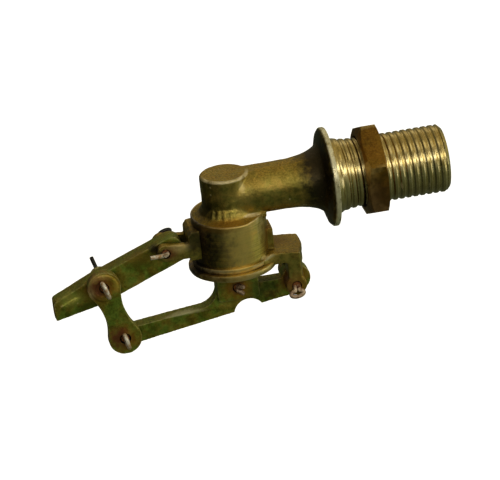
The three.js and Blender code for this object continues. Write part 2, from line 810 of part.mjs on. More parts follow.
function washer(pivot, fromY) {
  return crossBar(pivot, washerRadius, fromY, fromY + washerThickness, roundEye)
    .subtract(crossBar(pivot, pinRadius + pinHole, fromY - past, fromY + washerThickness + past));
}

// Materials

const castBrass = new THREE.MeshStandardMaterial({ color: 0x9a8440, roughness: 0.5, metalness: 0.9 });
const turnedBrass = new THREE.MeshStandardMaterial({ color: 0xc9a94f, roughness: 0.3, metalness: 1 });
const nutBrass = new THREE.MeshStandardMaterial({ color: 0x8c6a2c, roughness: 0.5, metalness: 0.9 });
const leverBrass = new THREE.MeshStandardMaterial({ color: 0x7f7a38, roughness: 0.55, metalness: 0.9 });
const pinSteel = new THREE.MeshStandardMaterial({ color: 0xb9b3a2, roughness: 0.35, metalness: 1 });
const rubber = new THREE.MeshStandardMaterial({ color: 0x1d1c1b, roughness: 0.85, metalness: 0 });
const fibre = new THREE.MeshStandardMaterial({ color: 0x7a2f22, roughness: 0.9, metalness: 0 });

// Assembly

const valve = new THREE.Group();

function piece(name, solid, material) {
  const mesh = new THREE.Mesh(asGeometry(solid), material);
  mesh.name = name;
  valve.add(mesh);
}

const lugOuterY = floatLeverThickness / 2 + fit + lugEarThickness;
const topWasherY = floatLeverThickness / 2 + fit;
const footWasherY = lowerLeverThickness / 2 + fit;
const up = 0;
const down = Math.PI;
const towardsFloat = -Math.PI / 2;
const towardsInlet = Math.PI / 2;

piece("valve_body", valveBody(), castBrass);
piece("back_nut", backNut(), nutBrass);
piece("seat_nozzle", seatNozzle(), turnedBrass);
piece("nozzle_gasket", nozzleGasket(), fibre);
piece("plunger", plunger(), turnedBrass);
piece("seat_disc", seatDisc(), rubber);
piece("disc_cap", discCap(), turnedBrass);
piece("float_lever", floatLever(), leverBrass);
piece("link_plate", linkPlate(), leverBrass);
piece("lower_lever", lowerLever(), leverBrass);
piece("link_top_washer", washer(linkTop, topWasherY), leverBrass);
piece("link_foot_washer", washer(linkFoot, footWasherY), leverBrass);
piece("float_pivot_pin", splitPin(
  floatPivot, -lugOuterY, lugOuterY, 1, Math.PI / 2, [towardsFloat, towardsInlet],
), pinSteel);
piece("link_top_pin", splitPin(
  linkTop, linkFrontY, topWasherY + washerThickness, -1, 0, [up, down],
), pinSteel);
piece("link_foot_pin", splitPin(
  linkFoot, linkFrontY, footWasherY + washerThickness, -1, 0, [up, down],
), pinSteel);
piece("plunger_pin", splitPin(
  plungerPivot, -hubThickness / 2, hubThickness / 2, 1, 0, [up + plungerLegTurn, down - plungerLegTurn],
), pinSteel);
piece("fulcrum_pin", splitPin(
  fulcrum, -armHalfWidth, armHalfWidth, -1, 0, [up, down],
), pinSteel);

export default valve;
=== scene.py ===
import math

import bmesh
import bpy
from mathutils import Matrix, Vector, noise


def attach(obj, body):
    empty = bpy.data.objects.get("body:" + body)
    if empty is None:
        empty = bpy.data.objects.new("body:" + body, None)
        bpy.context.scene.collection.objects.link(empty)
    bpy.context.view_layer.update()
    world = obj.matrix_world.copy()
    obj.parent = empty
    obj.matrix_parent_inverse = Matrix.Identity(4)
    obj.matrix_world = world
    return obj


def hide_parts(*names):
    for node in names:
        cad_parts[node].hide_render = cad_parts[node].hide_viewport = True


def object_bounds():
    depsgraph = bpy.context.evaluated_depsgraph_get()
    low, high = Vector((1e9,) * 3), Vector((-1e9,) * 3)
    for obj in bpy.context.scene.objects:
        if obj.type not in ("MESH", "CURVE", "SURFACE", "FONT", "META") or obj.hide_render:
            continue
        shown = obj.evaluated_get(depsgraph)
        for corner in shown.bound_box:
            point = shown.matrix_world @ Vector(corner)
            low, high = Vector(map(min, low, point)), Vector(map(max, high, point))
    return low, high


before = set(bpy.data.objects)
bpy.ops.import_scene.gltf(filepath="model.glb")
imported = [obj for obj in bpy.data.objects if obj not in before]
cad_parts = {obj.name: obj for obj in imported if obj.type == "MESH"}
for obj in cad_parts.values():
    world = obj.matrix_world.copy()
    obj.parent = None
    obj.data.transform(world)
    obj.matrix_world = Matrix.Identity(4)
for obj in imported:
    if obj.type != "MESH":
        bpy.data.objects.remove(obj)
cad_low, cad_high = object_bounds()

# Driving sizes in millimetres. The pivots are the CAD model's, as (x, z), since every pin lies along y.

OUTLET_X = -32.8
PITCH = 2.15
THREAD_R = 10.475
SHANK = 35.6
FLANGE_R = 15.3
TUBE_R = 7.5
NECK_R = 7.4
BOSS_TOP = 6.95
BARREL_R = 11.5
BARREL_FOOT = -24.05
LUG_HALF = 5.4
LUG_GAP_HALF = 3.0
ARM_HALF = 7.4
ARM_UNDERSIDE = -22.9
LEG_EYE_R = 3.2
NUT_FLATS = 26.6
NUT_NEAR, NUT_FAR = 9.0, 15.4
HOLE_R = 1.55
FOOT_HOLE_R = 1.75
PIN_R = 1.2
WASHER_R = 3.2
DROOP = math.radians(20.9)
LINK_REACH = 21.4
LINK_LENGTH = 18.4
LINK_LEAN = 4.5
FLOAT_PIVOT = (-53.8, -14.1)
LINK_TOP = (FLOAT_PIVOT[0] - LINK_REACH * math.cos(DROOP), FLOAT_PIVOT[1] - LINK_REACH * math.sin(DROOP))
LINK_FOOT = (LINK_TOP[0] + LINK_LEAN, LINK_TOP[1] - math.sqrt(LINK_LENGTH**2 - LINK_LEAN**2))
FULCRUM = (OUTLET_X + 17.8, -31.0)
PLUNGER_PIN = (OUTLET_X, -30.2)

METRES = 0.001


# Mesh helpers

def share(value):
    """The value held between 0 and 1."""
    return min(1, max(0, value))


def linked(name, data):
    obj = bpy.data.objects.new(name, data)
    bpy.context.scene.collection.objects.link(obj)
    return obj


def new_object(name, verts, faces):
    """A mesh whose faces all point outwards."""
    mesh = bpy.data.meshes.new(name)
    mesh.from_pydata([tuple(v) for v in verts], [], faces)
    work = bmesh.new()
    work.from_mesh(mesh)
    bmesh.ops.recalc_face_normals(work, faces=work.faces)
    work.to_mesh(mesh)
    work.free()
    return linked(name, mesh)


def turned(name, profile, axis="z", centre=(OUTLET_X, 0.0), segments=144):
    """Turns a profile of (radius, height) points about an axis. One that starts off the axis is closed."""

    def place(r, h, t):
        c, s = r * math.cos(t), r * math.sin(t)
        if axis == "z":
            return (centre[0] + c, centre[1] + s, h)
        if axis == "x":
            return (h, centre[0] + c, centre[1] + s)
        return (centre[0] + c, h, centre[1] + s)

    verts, rings = [], []
    for r, h in profile:
        if r < 1e-6:
            rings.append([len(verts)])
            verts.append(place(0, h, 0))
        else:
            rings.append(list(range(len(verts), len(verts) + segments)))
            verts += [place(r, h, 2 * math.pi * k / segments) for k in range(segments)]
    pairs = list(zip(rings, rings[1:]))
    if len(rings[0]) > 1:
        pairs.append((rings[-1], rings[0]))
    faces = []
    for a, b in pairs:
        for k in range(segments):
            n = (k + 1) % segments
            if len(a) == 1 and len(b) > 1:
                faces.append((a[0], b[n], b[k]))
            elif len(b) == 1 and len(a) > 1:
                faces.append((a[k], a[n], b[0]))
            elif len(a) > 1:
                faces.append((a[k], a[n], b[n], b[k]))
    return new_object(name, verts, faces)


def bar_y(name, pivot, radius, y0, y1, segments=64):
    return turned(name, [(0, y0), (radius, y0), (radius, y1), (0, y1)], "y", pivot, segments)


def pin_hole(pivot, y0, y1, radius=HOLE_R):
    return bar_y("hole", pivot, radius, y0, y1, 48)


def arc(cx, cy, radius, a0, a1, steps, with_end=False):
    """Points on an arc. Its last point is left to what follows, unless with_end is set."""
    angles = [a0 + (a1 - a0) * k / steps for k in range(steps + with_end)]
    return [(cx + radius * math.cos(a), cy + radius * math.sin(a)) for a in angles]


def rounded(corners, step=12):
    """An outline of (x, z, radius) corners as points, each corner an arc."""
    out = []
    for i, (x, z, radius) in enumerate(corners):
        if radius == 0:
            out.append((x, z))
            continue
        here = Vector((x, z))
        back = (Vector(corners[i - 1][:2]) - here).normalized()
        ahead = (Vector(corners[(i + 1) % len(corners)][:2]) - here).normalized()
        half = math.acos(max(-1, min(1, back.dot(ahead)))) / 2
        centre = here + (back + ahead).normalized() * (radius / math.sin(half))
        start = here + back * (radius / math.tan(half)) - centre
        end = here + ahead * (radius / math.tan(half)) - centre
        turn = start.angle_signed(end)
        steps = max(2, int(abs(math.degrees(turn)) / step))
        first = math.atan2(start.y, start.x)
        out += arc(centre.x, centre.y, radius, first, first - turn, steps, True)
    return out


def extruded(name, outline, y0, y1):
    """An (x, z) outline drawn out along y."""
    n = len(outline)
    verts = [(x, y0, z) for x, z in outline] + [(x, y1, z) for x, z in outline]
    faces = [tuple(range(n)), tuple(range(2 * n - 1, n - 1, -1))]
    faces += [(k, k + n, (k + 1) % n + n, (k + 1) % n) for k in range(n)]
    obj = new_object(name, verts, faces)
    work = bmesh.new()
    work.from_mesh(obj.data)
    bmesh.ops.triangulate(work, faces=[f for f in work.faces if len(f.verts) > 4])
    work.to_mesh(obj.data)
    work.free()
    return obj


def slab(name, outline, z0, z1):
    """An (x, y) outline drawn out along z."""
    obj = extruded(name, outline, z0, z1)
    for v in obj.data.vertices:
        v.co = Vector((v.co.x, v.co.z, v.co.y))
    obj.data.flip_normals()
    return obj


def box(name, low, high):
    outline = [(low[0], low[2]), (high[0], low[2]), (high[0], high[2]), (low[0], high[2])]
    return extruded(name, outline, low[1], high[1])


def modified(obj, kind, **settings):
    """Applies one modifier to the mesh."""
    m = obj.modifiers.new(kind, kind)
    for key, value in settings.items():
        setattr(m, key, value)
    graph = bpy.context.evaluated_depsgraph_get()
    evaluated = obj.evaluated_get(graph)
    mesh = bpy.data.meshes.new_from_object(evaluated, preserve_all_data_layers=True, depsgraph=graph)
    obj.modifiers.clear()
    old, obj.data = obj.data, mesh
    bpy.data.meshes.remove(old)
    return obj


def combined(obj, tools, operation):
    for tool in tools:
        modified(obj, "BOOLEAN", operation=operation, object=tool, solver="MANIFOLD",
                 material_mode="TRANSFER")
        bpy.data.objects.remove(tool)
    return obj


def dressed(obj, material):
    obj.data.materials.clear()
    obj.data.materials.append(material)
    return obj


def cut(obj, tools, material):
    """Cuts the tools out of the object. The walls of the cuts get the material."""
    return combined(obj, [dressed(tool, material) for tool in tools], "DIFFERENCE")


def gathered(parts):
    """The vertices and faces of several objects, which are removed, and which part each face is of."""
    verts, faces, sources = [], [], []
    for number, part in enumerate(parts):
        base = len(verts)
        verts += [tuple(v.co) for v in part.data.vertices]
        faces += [tuple(base + i for i in p.vertices) for p in part.data.polygons]
        sources += [number] * len(part.data.polygons)
        bpy.data.objects.remove(part)
    return verts, faces, sources


def together(name, parts):
    """Several closed meshes in one object, for a voxel remesh to fuse."""
    verts, faces, _ = gathered(parts)
    mesh = bpy.data.meshes.new(name)
    mesh.from_pydata(verts, [], faces)
    return linked(name, mesh)


def softened(obj, weight, iterations):
    """Smooths the mesh only where weight(point) is above zero."""
    group = obj.vertex_groups.new(name="soft")
    for v in obj.data.vertices:
        amount = weight(v.co)
        if amount > 0:
            group.add([v.index], amount, "REPLACE")
    modified(obj, "SMOOTH", factor=0.5, iterations=iterations, vertex_group="soft")
    obj.vertex_groups.clear()


def cast(obj, voxel, smoothing, lump, seed, grow=0.0, zones=()):
    """Fuses the forms, rounds their edges and lays the slight lumps of a casting over them."""
    modified(obj, "REMESH", mode="VOXEL", voxel_size=voxel, adaptivity=0.0)
    for weight, iterations in zones:
        softened(obj, weight, iterations)
    modified(obj, "SMOOTH", factor=0.5, iterations=smoothing)
    shift = Vector((seed, seed * 0.37, -seed))
    moves = []
    for v in obj.data.vertices:
        broad = noise.noise(v.co * 0.42 + shift)
        small = noise.noise(v.co * 1.7 + shift)
        moves.append(v.normal * (grow + lump * broad + lump * 0.35 * small))
    for v, move in zip(obj.data.vertices, moves):
        v.co += move
    return obj


def hung(pivot, turn):
    """The place of a form that was drawn round its own pivot."""
    return Matrix.Translation((pivot[0], 0, pivot[1])) @ Matrix.Rotation(turn, 4, "Y")


def placed(obj, name, body, cad):
    """Turns the piece from millimetres to metres, keeps it in the CAD box and tells the frame what it is."""
    obj.name = name
    obj.data.transform(Matrix.Scale(METRES, 4))
    for v in obj.data.vertices:
        v.co = Vector([min(max(c, low + 1e-6), high - 1e-6) for c, low, high in zip(v.co, cad_low, cad_high)])
    obj.data.update()
    for p in obj.data.polygons:
        p.use_smooth = True
    obj.data.set_sharp_from_angle(angle=math.radians(32))
    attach(obj, body)
    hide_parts(cad)
    return obj


# Shader helpers

def node(tree, kind, inputs=None, **attrs):
    made = tree.nodes.new(kind)
    for key, value in attrs.items():
        setattr(made, key, value)
    for key, value in (inputs or {}).items():
        if hasattr(value, "is_output"):
            tree.links.new(value, made.inputs[key])
        else:
            made.inputs[key].default_value = value
    return made


def noise_of(tree, vector, scale, detail=4.0, rough=0.55):
    inputs = {"Vector": vector, "Scale": scale, "Detail": detail, "Roughness": rough}
    return node(tree, "ShaderNodeTexNoise", inputs).outputs["Fac"]


def span(tree, value, a, b, c=0.0, d=1.0):
    """Maps a..b to c..d and holds the value there."""
    inputs = {"Value": value, "From Min": a, "From Max": b, "To Min": c, "To Max": d}
    return node(tree, "ShaderNodeMapRange", inputs).outputs["Result"]


def times(tree, a, b):
    return node(tree, "ShaderNodeMath", {0: a, 1: b}, operation="MULTIPLY").outputs[0]


def plus(tree, a, b):
    return node(tree, "ShaderNodeMath", {0: a, 1: b}, operation="ADD").outputs[0]


def vector_math(tree, operation, a, b=None):
    inputs = {0: a} if b is None else {0: a, 1: b}
    made = node(tree, "ShaderNodeVectorMath", inputs, operation=operation)
    return made.outputs["Value" if operation == "LENGTH" else "Vector"]


def parts_of(tree, vector):
    return node(tree, "ShaderNodeSeparateXYZ", {0: vector}).outputs


def blend(tree, factor, a, b):
    made = node(tree, "ShaderNodeMix", data_type="RGBA")
    for key, value in ((0, factor), (6, a), (7, b)):
        if hasattr(value, "is_output"):
            tree.links.new(value, made.inputs[key])
        elif key:
            made.inputs[key].default_value = (*value, 1)
        else:
            made.inputs[key].default_value = value
    return made.outputs[2]


def tinted(tree, colour, factor, a, b):
    """The colour multiplied by a tint that goes from a to b."""
    made = node(tree, "ShaderNodeMix", data_type="RGBA", blend_type="MULTIPLY")
    made.inputs[0].default_value = 1.0
    tree.links.new(colour, made.inputs[6])
    tree.links.new(blend(tree, factor, a, b), made.inputs[7])
    return made.outputs[2]


def scaled(colour, factor):
    return tuple(factor * c for c in colour)


def three_tones(tree, tone, dark, mid, light):
    ramp = node(tree, "ShaderNodeValToRGB", {"Fac": tone})
    first, last = ramp.color_ramp.elements
    first.position, first.color = 0.42, (*dark, 1)
    last.position, last.color = 0.6, (*light, 1)
    ramp.color_ramp.elements.new(0.5).color = (*mid, 1)
    return ramp.outputs["Color"]


def colour_patch(centre, reach, colour, amount, dull=0.0):
    """A patch of another colour, for stains and for painted shade and highlights: its middle, half lengths in
    mm, and how far it hides and dulls.
    """
    return centre, reach, colour, amount, dull


def patch(tree, mm, ragged, centre, reach):
    """1 inside an ellipsoid with a soft, ragged edge and 0 outside."""
    offset = vector_math(tree, "SUBTRACT", mm, centre)
    away = vector_math(tree, "LENGTH", vector_math(tree, "DIVIDE", offset, reach))
    away = plus(tree, away, span(tree, ragged, 0.3, 0.7, -0.16, 0.16))
    return span(tree, away, 1.0, 0.4)


def rim_highlight_mask(tree, mm, ragged, centre, radius, reach):
    """1 along the front of a level circle round the point (x, z) and 0 further than reach from it: the mask
    of a painted highlight.
    """
    offset = parts_of(tree, vector_math(tree, "SUBTRACT", mm, (centre[0], 0, 0)))
    flat = node(tree, "ShaderNodeCombineXYZ", {"X": offset["X"], "Y": offset["Y"]}).outputs[0]
    outwards = plus(tree, vector_math(tree, "LENGTH", flat), -radius)
    upwards = plus(tree, offset["Z"], -centre[1])
    section = node(tree, "ShaderNodeCombineXYZ", {"X": outwards, "Y": upwards}).outputs[0]
    near = span(tree, vector_math(tree, "LENGTH", section), reach, reach * 0.5)
    front = span(tree, offset["Y"], 1.0, -3.0)
    return times(tree, times(tree, near, front), span(tree, ragged, 0.3, 0.55, 0.35, 1.0))


def started(name):
    """A new material, with its tree, its texture coordinates and the object's coordinates in millimetres."""
    mat = bpy.data.materials.new(name)
    mat.use_nodes = True
    tree = mat.node_tree
    tree.nodes.clear()
    coord = node(tree, "ShaderNodeTexCoord").outputs
    scale = {0: coord["Object"], "Scale": 1 / METRES}
    return mat, tree, coord, node(tree, "ShaderNodeVectorMath", scale, operation="SCALE").outputs[0]


def finished(tree, colour, metallic, roughness, height, strength, depth):
    bump = node(tree, "ShaderNodeBump", {"Height": height, "Strength": strength, "Distance": depth})
    shader = node(tree, "ShaderNodeBsdfPrincipled", {
        "Base Color": colour, "Metallic": metallic, "Roughness": roughness, "Normal": bump.outputs["Normal"],
    })
    node(tree, "ShaderNodeOutputMaterial", {"Surface": shader.outputs[0]}).is_active_output = True


def brass(name, light, mid, dark, top, grime_and_shade, rough=(0.3, 0.5), grain=0.5, lines=None, wear=0.5, top_light_mix=0.6,
          grime_and_shade_mix=0.9, grime_and_shade_reach=0.0022, worn=(0.85, 0.72, 0.38), edges=(0.51, 0.56), skin=0.26, hues=0.4,
          underside_shade=0.0, bright_edge=0.45, colour_patches=(), rim_highlights=()):
    """Old brass, mottled between three tones.

    It takes the colour top where it faces up, partly as dust and partly as a painted warm reflection of the
    light from above; grime in the hollows, as dirt and painted shade; and worn on its edges. lines stretches
    a noise into brushed lines, hues is how far its tint wanders, under is how much painted shade darkens the
    faces that point down, and skin is the height of the grain in millimetres.
    """
    mat, tree, coord, mm = started(name)
    wide = noise_of(tree, mm, 0.11, 3.0)
    middle = noise_of(tree, mm, 0.55, 4.0)
    fine = noise_of(tree, mm, 1.7, 5.0, 0.65)
    tone = plus(tree, times(tree, wide, 0.38), plus(tree, times(tree, middle, 0.34), times(tree, fine, 0.28)))
    height = times(tree, fine, grain)
    if lines:
        brushed = noise_of(tree, vector_math(tree, "MULTIPLY", mm, lines), 1.0, 3.0, 0.6)
        tone = plus(tree, times(tree, tone, 0.5), times(tree, brushed, 0.5))
    colour = three_tones(tree, tone, dark, mid, light)
    if hues:
        greener = (1 - 0.14 * hues, 1 + 0.06 * hues, 1 - 0.05 * hues)
        redder = (1 + 0.14 * hues, 1 - 0.05 * hues, 1 - 0.1 * hues)
        colour = tinted(tree, colour, span(tree, noise_of(tree, mm, 0.27, 2.0), 0.4, 0.6), greener, redder)

    # Upward faces take the colour top: partly dust, partly a painted warm reflection of the light from above.
    facing = parts_of(tree, coord["Normal"])["Z"]
    up = span(tree, facing, 0.25, 0.95)
    top_light_tone = blend(tree, span(tree, fine, 0.36, 0.62), scaled(top, 0.5), scaled(top, 1.4))
    upward = times(tree, up, span(tree, middle, 0.3, 0.6, 0.55, 1.0))
    colour = blend(tree, times(tree, upward, top_light_mix), colour, top_light_tone)
    # Painted shade on the faces that point down.
    if underside_shade:
        colour = blend(tree, span(tree, facing, 0.3, -0.5, 0.0, underside_shade), colour, scaled(dark, 0.35))

    # Hollows take the grime colour, as dirt and painted shade.
    closeness = node(tree, "ShaderNodeAmbientOcclusion", {"Distance": grime_and_shade_reach}, samples=8).outputs["AO"]
    hollow = times(tree, span(tree, closeness, 0.9, 0.35), span(tree, fine, 0.3, 0.6, 0.7, 1.0))
    colour = blend(tree, times(tree, hollow, grime_and_shade_mix), colour, grime_and_shade)
    point = node(tree, "ShaderNodeNewGeometry").outputs["Pointiness"]
    edge = times(tree, span(tree, point, *edges), span(tree, middle, 0.35, 0.55, 0.4, 1.0))
    colour = blend(tree, times(tree, edge, wear), colour, worn)
    metallic = span(tree, edge, 0.0, 1.0, 1.0, 1.0 - bright_edge)

    # Patches of colour (stains, painted shade and painted highlights), then painted highlights along rims.
    patches = [(patch(tree, mm, middle, *spot[:2]), *spot[2:]) for spot in colour_patches]
    patches += [(rim_highlight_mask(tree, mm, middle, *rim[:3]), *rim[3:]) for rim in rim_highlights]
    for covered, hue, amount, dull in patches:
        colour = blend(tree, times(tree, covered, amount), colour, hue)
        metallic = times(tree, metallic, span(tree, covered, 0.0, 1.0, 1.0, 1.0 - dull))

    roughness = plus(tree, span(tree, middle, 0.3, 0.7, *rough), times(tree, hollow, 0.2))
    height = times(tree, height, span(tree, up, 0.0, 1.0, 0.8, 3.6))
    if lines:
        height = plus(tree, height, times(tree, brushed, 0.7))
    finished(tree, colour, metallic, roughness, height, 0.75, skin * METRES)
    return mat


def plain(name, low, high, scale, roughness, metallic=0.0, grime_and_shade=None, rear=None):
    """A mottled two-tone finish with a fine grain, for rubber, fibre and wire. rear paints shade over its
    back, and grime darkens it close to other parts, as dirt and painted shade.
    """
    mat, tree, _, mm = started(name)
    colour = blend(tree, span(tree, noise_of(tree, mm, scale, 4.0), 0.35, 0.65), low, high)
    # Painted shade over the back of the part.
    if rear:
        colour = blend(tree, span(tree, parts_of(tree, mm)["Y"], 0.5, 3.0), colour, rear)
    # Darker close to other parts, as dirt and painted shade.
    if grime_and_shade:
        near = node(tree, "ShaderNodeAmbientOcclusion", {"Distance": 0.0012}, samples=8).outputs["AO"]
        colour = blend(tree, span(tree, near, 0.85, 0.3), colour, grime_and_shade)
    finished(tree, colour, metallic, roughness, noise_of(tree, mm, scale * 3, 3.0), 0.5, 0.04 * METRES)
    return mat


# Colours of grime, rust, painted shade and painted light

# Dirt and painted shade for the hollows
GRIME_AND_SHADE = (0.022, 0.021, 0.008)
# Painted shade
PAINTED_SHADE = (0.05, 0.04, 0.026)
# Painted warm light, as on faces lit from above and from the right
PAINTED_WARM_LIGHT = (0.42, 0.22, 0.03)
RUST = (0.17, 0.052, 0.014)
DEEP_RUST = (0.09, 0.022, 0.012)
AMBER = (0.52, 0.26, 0.03)
# Painted highlights
PAINTED_HIGHLIGHT = (1.0, 0.86, 0.5)
PAINTED_GOLD_LIGHT = (0.9, 0.68, 0.28)
SHADE = (0.02, 0.02, 0.016)


def pin_rust_and_shadow():
    """Rust round the heads of the pins, and a painted shadow beside the float pivot."""
    in_front = (LINK_TOP, LINK_FOOT, FULCRUM, PLUNGER_PIN)
    colour_patches = [colour_patch((x, -4, z), (5.6, 6, 5.6), AMBER, 0.9) for x, z in in_front]
    for x, z in (LINK_TOP, LINK_FOOT, FULCRUM):
        colour_patches.append(colour_patch((x - 1.7, -5, z + 0.4), (4.9, 4, 5.1), RUST, 0.95, 0.6))
    x, z = PLUNGER_PIN
    colour_patches.append(colour_patch((x, -4, z), (3.0, 3, 2.7), DEEP_RUST, 0.95, 0.8))
    x, z = FLOAT_PIVOT
    colour_patches.append(colour_patch((x + 1.2, -5, z - 0.2), (3.2, 2, 2.8), RUST, 0.9, 0.5))
    # A painted shadow beside the float pivot.
    colour_patches.append(colour_patch((x - 3.3, -4, z + 1.3), (2.4, 4, 2.4), PAINTED_SHADE, 0.9))
    return colour_patches


# Materials of the valve's body

cast_brass = brass(
    "cast_brass_old", (0.55, 0.42, 0.105), (0.42, 0.33, 0.075), (0.28, 0.215, 0.045), (0.47, 0.3, 0.05),
    GRIME_AND_SHADE, rough=(0.34, 0.48), grain=1.0, top_light_mix=0.8, wear=0.85, edges=(0.535, 0.59), skin=0.12, colour_patches=[
        colour_patch((-28.5, -7, 0), (4, 3, 7), (0.7, 0.52, 0.14), 0.45, 0.04),
        # Painted shade on the flare by the flange
        colour_patch((-4.5, 0, 0), (7.5, 40, 40), PAINTED_SHADE, 0.93),
        # Painted shade on the left of the boss
        colour_patch((-41, -2, -2.5), (5, 9, 6), PAINTED_SHADE, 0.75),
        # Painted warm light on the ledge in front and on the right of the barrel
        colour_patch((-35, -10, -6), (9, 5, 2.2), PAINTED_WARM_LIGHT, 0.8),
        colour_patch((-22, -6, -10), (5, 8, 7), PAINTED_WARM_LIGHT, 0.6),
        # Painted highlights: a streak on the boss's front, the lug's ear, and the line where the tube's rib
        # meets the ledge
        colour_patch((-28.6, -6.3, 3.4), (1.4, 1.2, 3.6), (0.85, 0.68, 0.28), 0.6, 0.1),
        colour_patch((-49.2, -5.5, -12.6), (4.6, 1.5, 2.4), PAINTED_GOLD_LIGHT, 0.7, 0.28),
        colour_patch((-26.5, -7.0, -5.4), (4.5, 1.2, 0.7), PAINTED_HIGHLIGHT, 0.8, 0.4),
        # Painted shade on the arm's top
        colour_patch((-17, 3, -18.5), (9, 9, 2.0), (0.22, 0.12, 0.022), 0.85),
        # Painted highlights along the rib under the arm and along the arm's front edge
        colour_patch((-22.4, -9, -19.5), (3.8, 2.0, 1.2), PAINTED_HIGHLIGHT, 0.7, 0.35),
        colour_patch((-16.5, -7.6, -18.6), (5.5, 1.0, 0.8), PAINTED_HIGHLIGHT, 0.8, 0.5),
        # Painted shade on the lug's pad
        colour_patch((-44.5, -5, -11), (4, 6, 6), PAINTED_SHADE, 0.75),
        *pin_rust_and_shadow(),
    # A painted highlight along the front of the boss's top edge.
    ], rim_highlights=[((OUTLET_X, BOSS_TOP - 0.2), 7.1, 0.75, PAINTED_HIGHLIGHT, 0.85, 0.55)])

thread_brass = brass(
    "thread_brass_worn", (1.0, 0.88, 0.5), (0.92, 0.76, 0.35), (0.72, 0.56, 0.2), (0.46, 0.3, 0.06),
    (0.05, 0.035, 0.01), rough=(0.2, 0.28), hues=0.0, underside_shade=0.8, grain=0.2, lines=(1.6, 0.12, 0.12), wear=0.4,
    top_light_mix=0.75, grime_and_shade_reach=0.0006, grime_and_shade_mix=0.25, skin=0.06,
    # Painted shade on the shank beside the nut
    colour_patches=[colour_patch((12, 0, 0), (4.2, 40, 40), (0.24, 0.1, 0.02), 0.8)])

# The flange's rim: worn, paler brass, with its colour also raised as painted light
rim_brass = brass(
    "rim_brass_pale", (1.0, 0.95, 0.68), (0.86, 0.74, 0.42), (0.6, 0.46, 0.18), (0.8, 0.78, 0.5),
    (0.07, 0.05, 0.012), rough=(0.24, 0.36), grain=0.5, wear=0.9, top_light_mix=0.5, grime_and_shade_reach=0.0008,
    worn=(1.0, 0.93, 0.62), skin=0.12, hues=0.0, edges=(0.5, 0.53), bright_edge=0.4, underside_shade=0.85)

turned_brass = brass(
    "turned_brass_dull", (0.8, 0.6, 0.15), (0.62, 0.46, 0.105), (0.42, 0.3, 0.055), (0.5, 0.32, 0.07), GRIME_AND_SHADE,
    rough=(0.3, 0.42), grain=0.5, lines=(0.05, 0.05, 2.2), wear=0.7, skin=0.12, grime_and_shade_reach=0.0012,
    grime_and_shade_mix=0.75, colour_patches=[
        # Painted light on the barrel's front
        colour_patch((-32.5, -11.5, -13), (6.5, 6, 14), (0.92, 0.67, 0.2), 0.8, 0.14),
        # Painted shade on the barrel's left
        colour_patch((-47, -4, -13), (16, 16, 20), (0.075, 0.055, 0.05), 0.95),
        # Painted warm light on the foot's rim, the barrel's right side and its top edge in front
        colour_patch((-36, -10, -22.5), (12, 8, 1.3), PAINTED_WARM_LIGHT, 0.4),
        colour_patch((-21, -6, -12), (5, 7, 9), PAINTED_WARM_LIGHT, 0.7),
        colour_patch((-38, -10, -7), (9, 6, 1.6), PAINTED_WARM_LIGHT, 0.6),
    ])

bore_brass = brass(
    "bore_brass_dark", (0.2, 0.11, 0.035), (0.13, 0.07, 0.025), (0.08, 0.04, 0.015), (0.14, 0.07, 0.02),
    (0.02, 0.013, 0.006), rough=(0.4, 0.6), grain=0.5, wear=0.0)

# Materials of the nut, the levers and the small parts

nut_brass = brass(
    "nut_brass_brown", (0.33, 0.17, 0.026), (0.26, 0.13, 0.017), (0.18, 0.085, 0.013), (0.27, 0.15, 0.022),
    (0.03, 0.018, 0.007), rough=(0.36, 0.5), grain=0.7, wear=0.5, edges=(0.56, 0.66), skin=0.14,
    # Painted shade on the lower front of the nut
    worn=(0.62, 0.45, 0.15), colour_patches=[colour_patch((12, -12, -6), (8, 10, 12), (0.17, 0.085, 0.03), 0.8)])

lever_brass = brass(
    "lever_brass_olive", (0.5, 0.48, 0.1), (0.37, 0.38, 0.06), (0.24, 0.22, 0.03), (0.21, 0.2, 0.035), GRIME_AND_SHADE,
    rough=(0.38, 0.52), grain=1.0, wear=0.5, top_light_mix=0.7, skin=0.2, hues=1.3, colour_patches=[
        colour_patch((-62, -3, -15), (7, 4, 4), (0.34, 0.24, 0.04), 0.6),
        colour_patch((-77, -3, -24), (5, 5, 5), (0.5, 0.32, 0.05), 0.7),
        # A painted highlight near the float lever's end, and painted shade under it
        colour_patch((-84, -3, -25), (5, 5, 3), (0.8, 0.72, 0.16), 0.6),
        colour_patch((-79, -3, -29), (5, 4, 3), (0.14, 0.16, 0.03), 0.6),
        # Painted highlights round the upper eye of the link
        colour_patch((LINK_TOP[0] - 1.5, -6, LINK_TOP[1] + 3.4), (4.4, 2, 2.2), (0.8, 0.55, 0.16), 0.8, 0.3),
        colour_patch((LINK_TOP[0] - 4, -6, LINK_TOP[1] - 0.5), (1.6, 2, 3.4), (0.75, 0.58, 0.28), 0.8, 0.4),
        colour_patch((LINK_TOP[0] + 3.6, -6, LINK_TOP[1]), (1.6, 2, 3.2), (0.62, 0.42, 0.06), 0.7, 0.2),
        # A painted highlight along the lower lever's top edge
        colour_patch((-52, -2, -36.2), (10, 3, 0.9), (0.8, 0.74, 0.4), 0.7, 0.6),
        # Painted shade on the lower lever by the fulcrum and on the left of its hub
        colour_patch((-25, -3, -32), (8, 5, 6), PAINTED_SHADE, 0.5),
        colour_patch((-36, -3, -28), (5, 5, 4), (0.2, 0.18, 0.05), 0.5),
        *pin_rust_and_shadow(),
    ])

rust_metal = plain(
    "pin_rust", (0.14, 0.045, 0.015), (0.34, 0.12, 0.03), scale=1.6, roughness=0.6, metallic=0.3)

pin_metal = plain(
    "pin_wire", (0.5, 0.28, 0.1), (1.0, 0.95, 0.8), scale=0.9, roughness=0.3, metallic=0.2,
    grime_and_shade=(0.1, 0.025, 0.012), rear=SHADE)

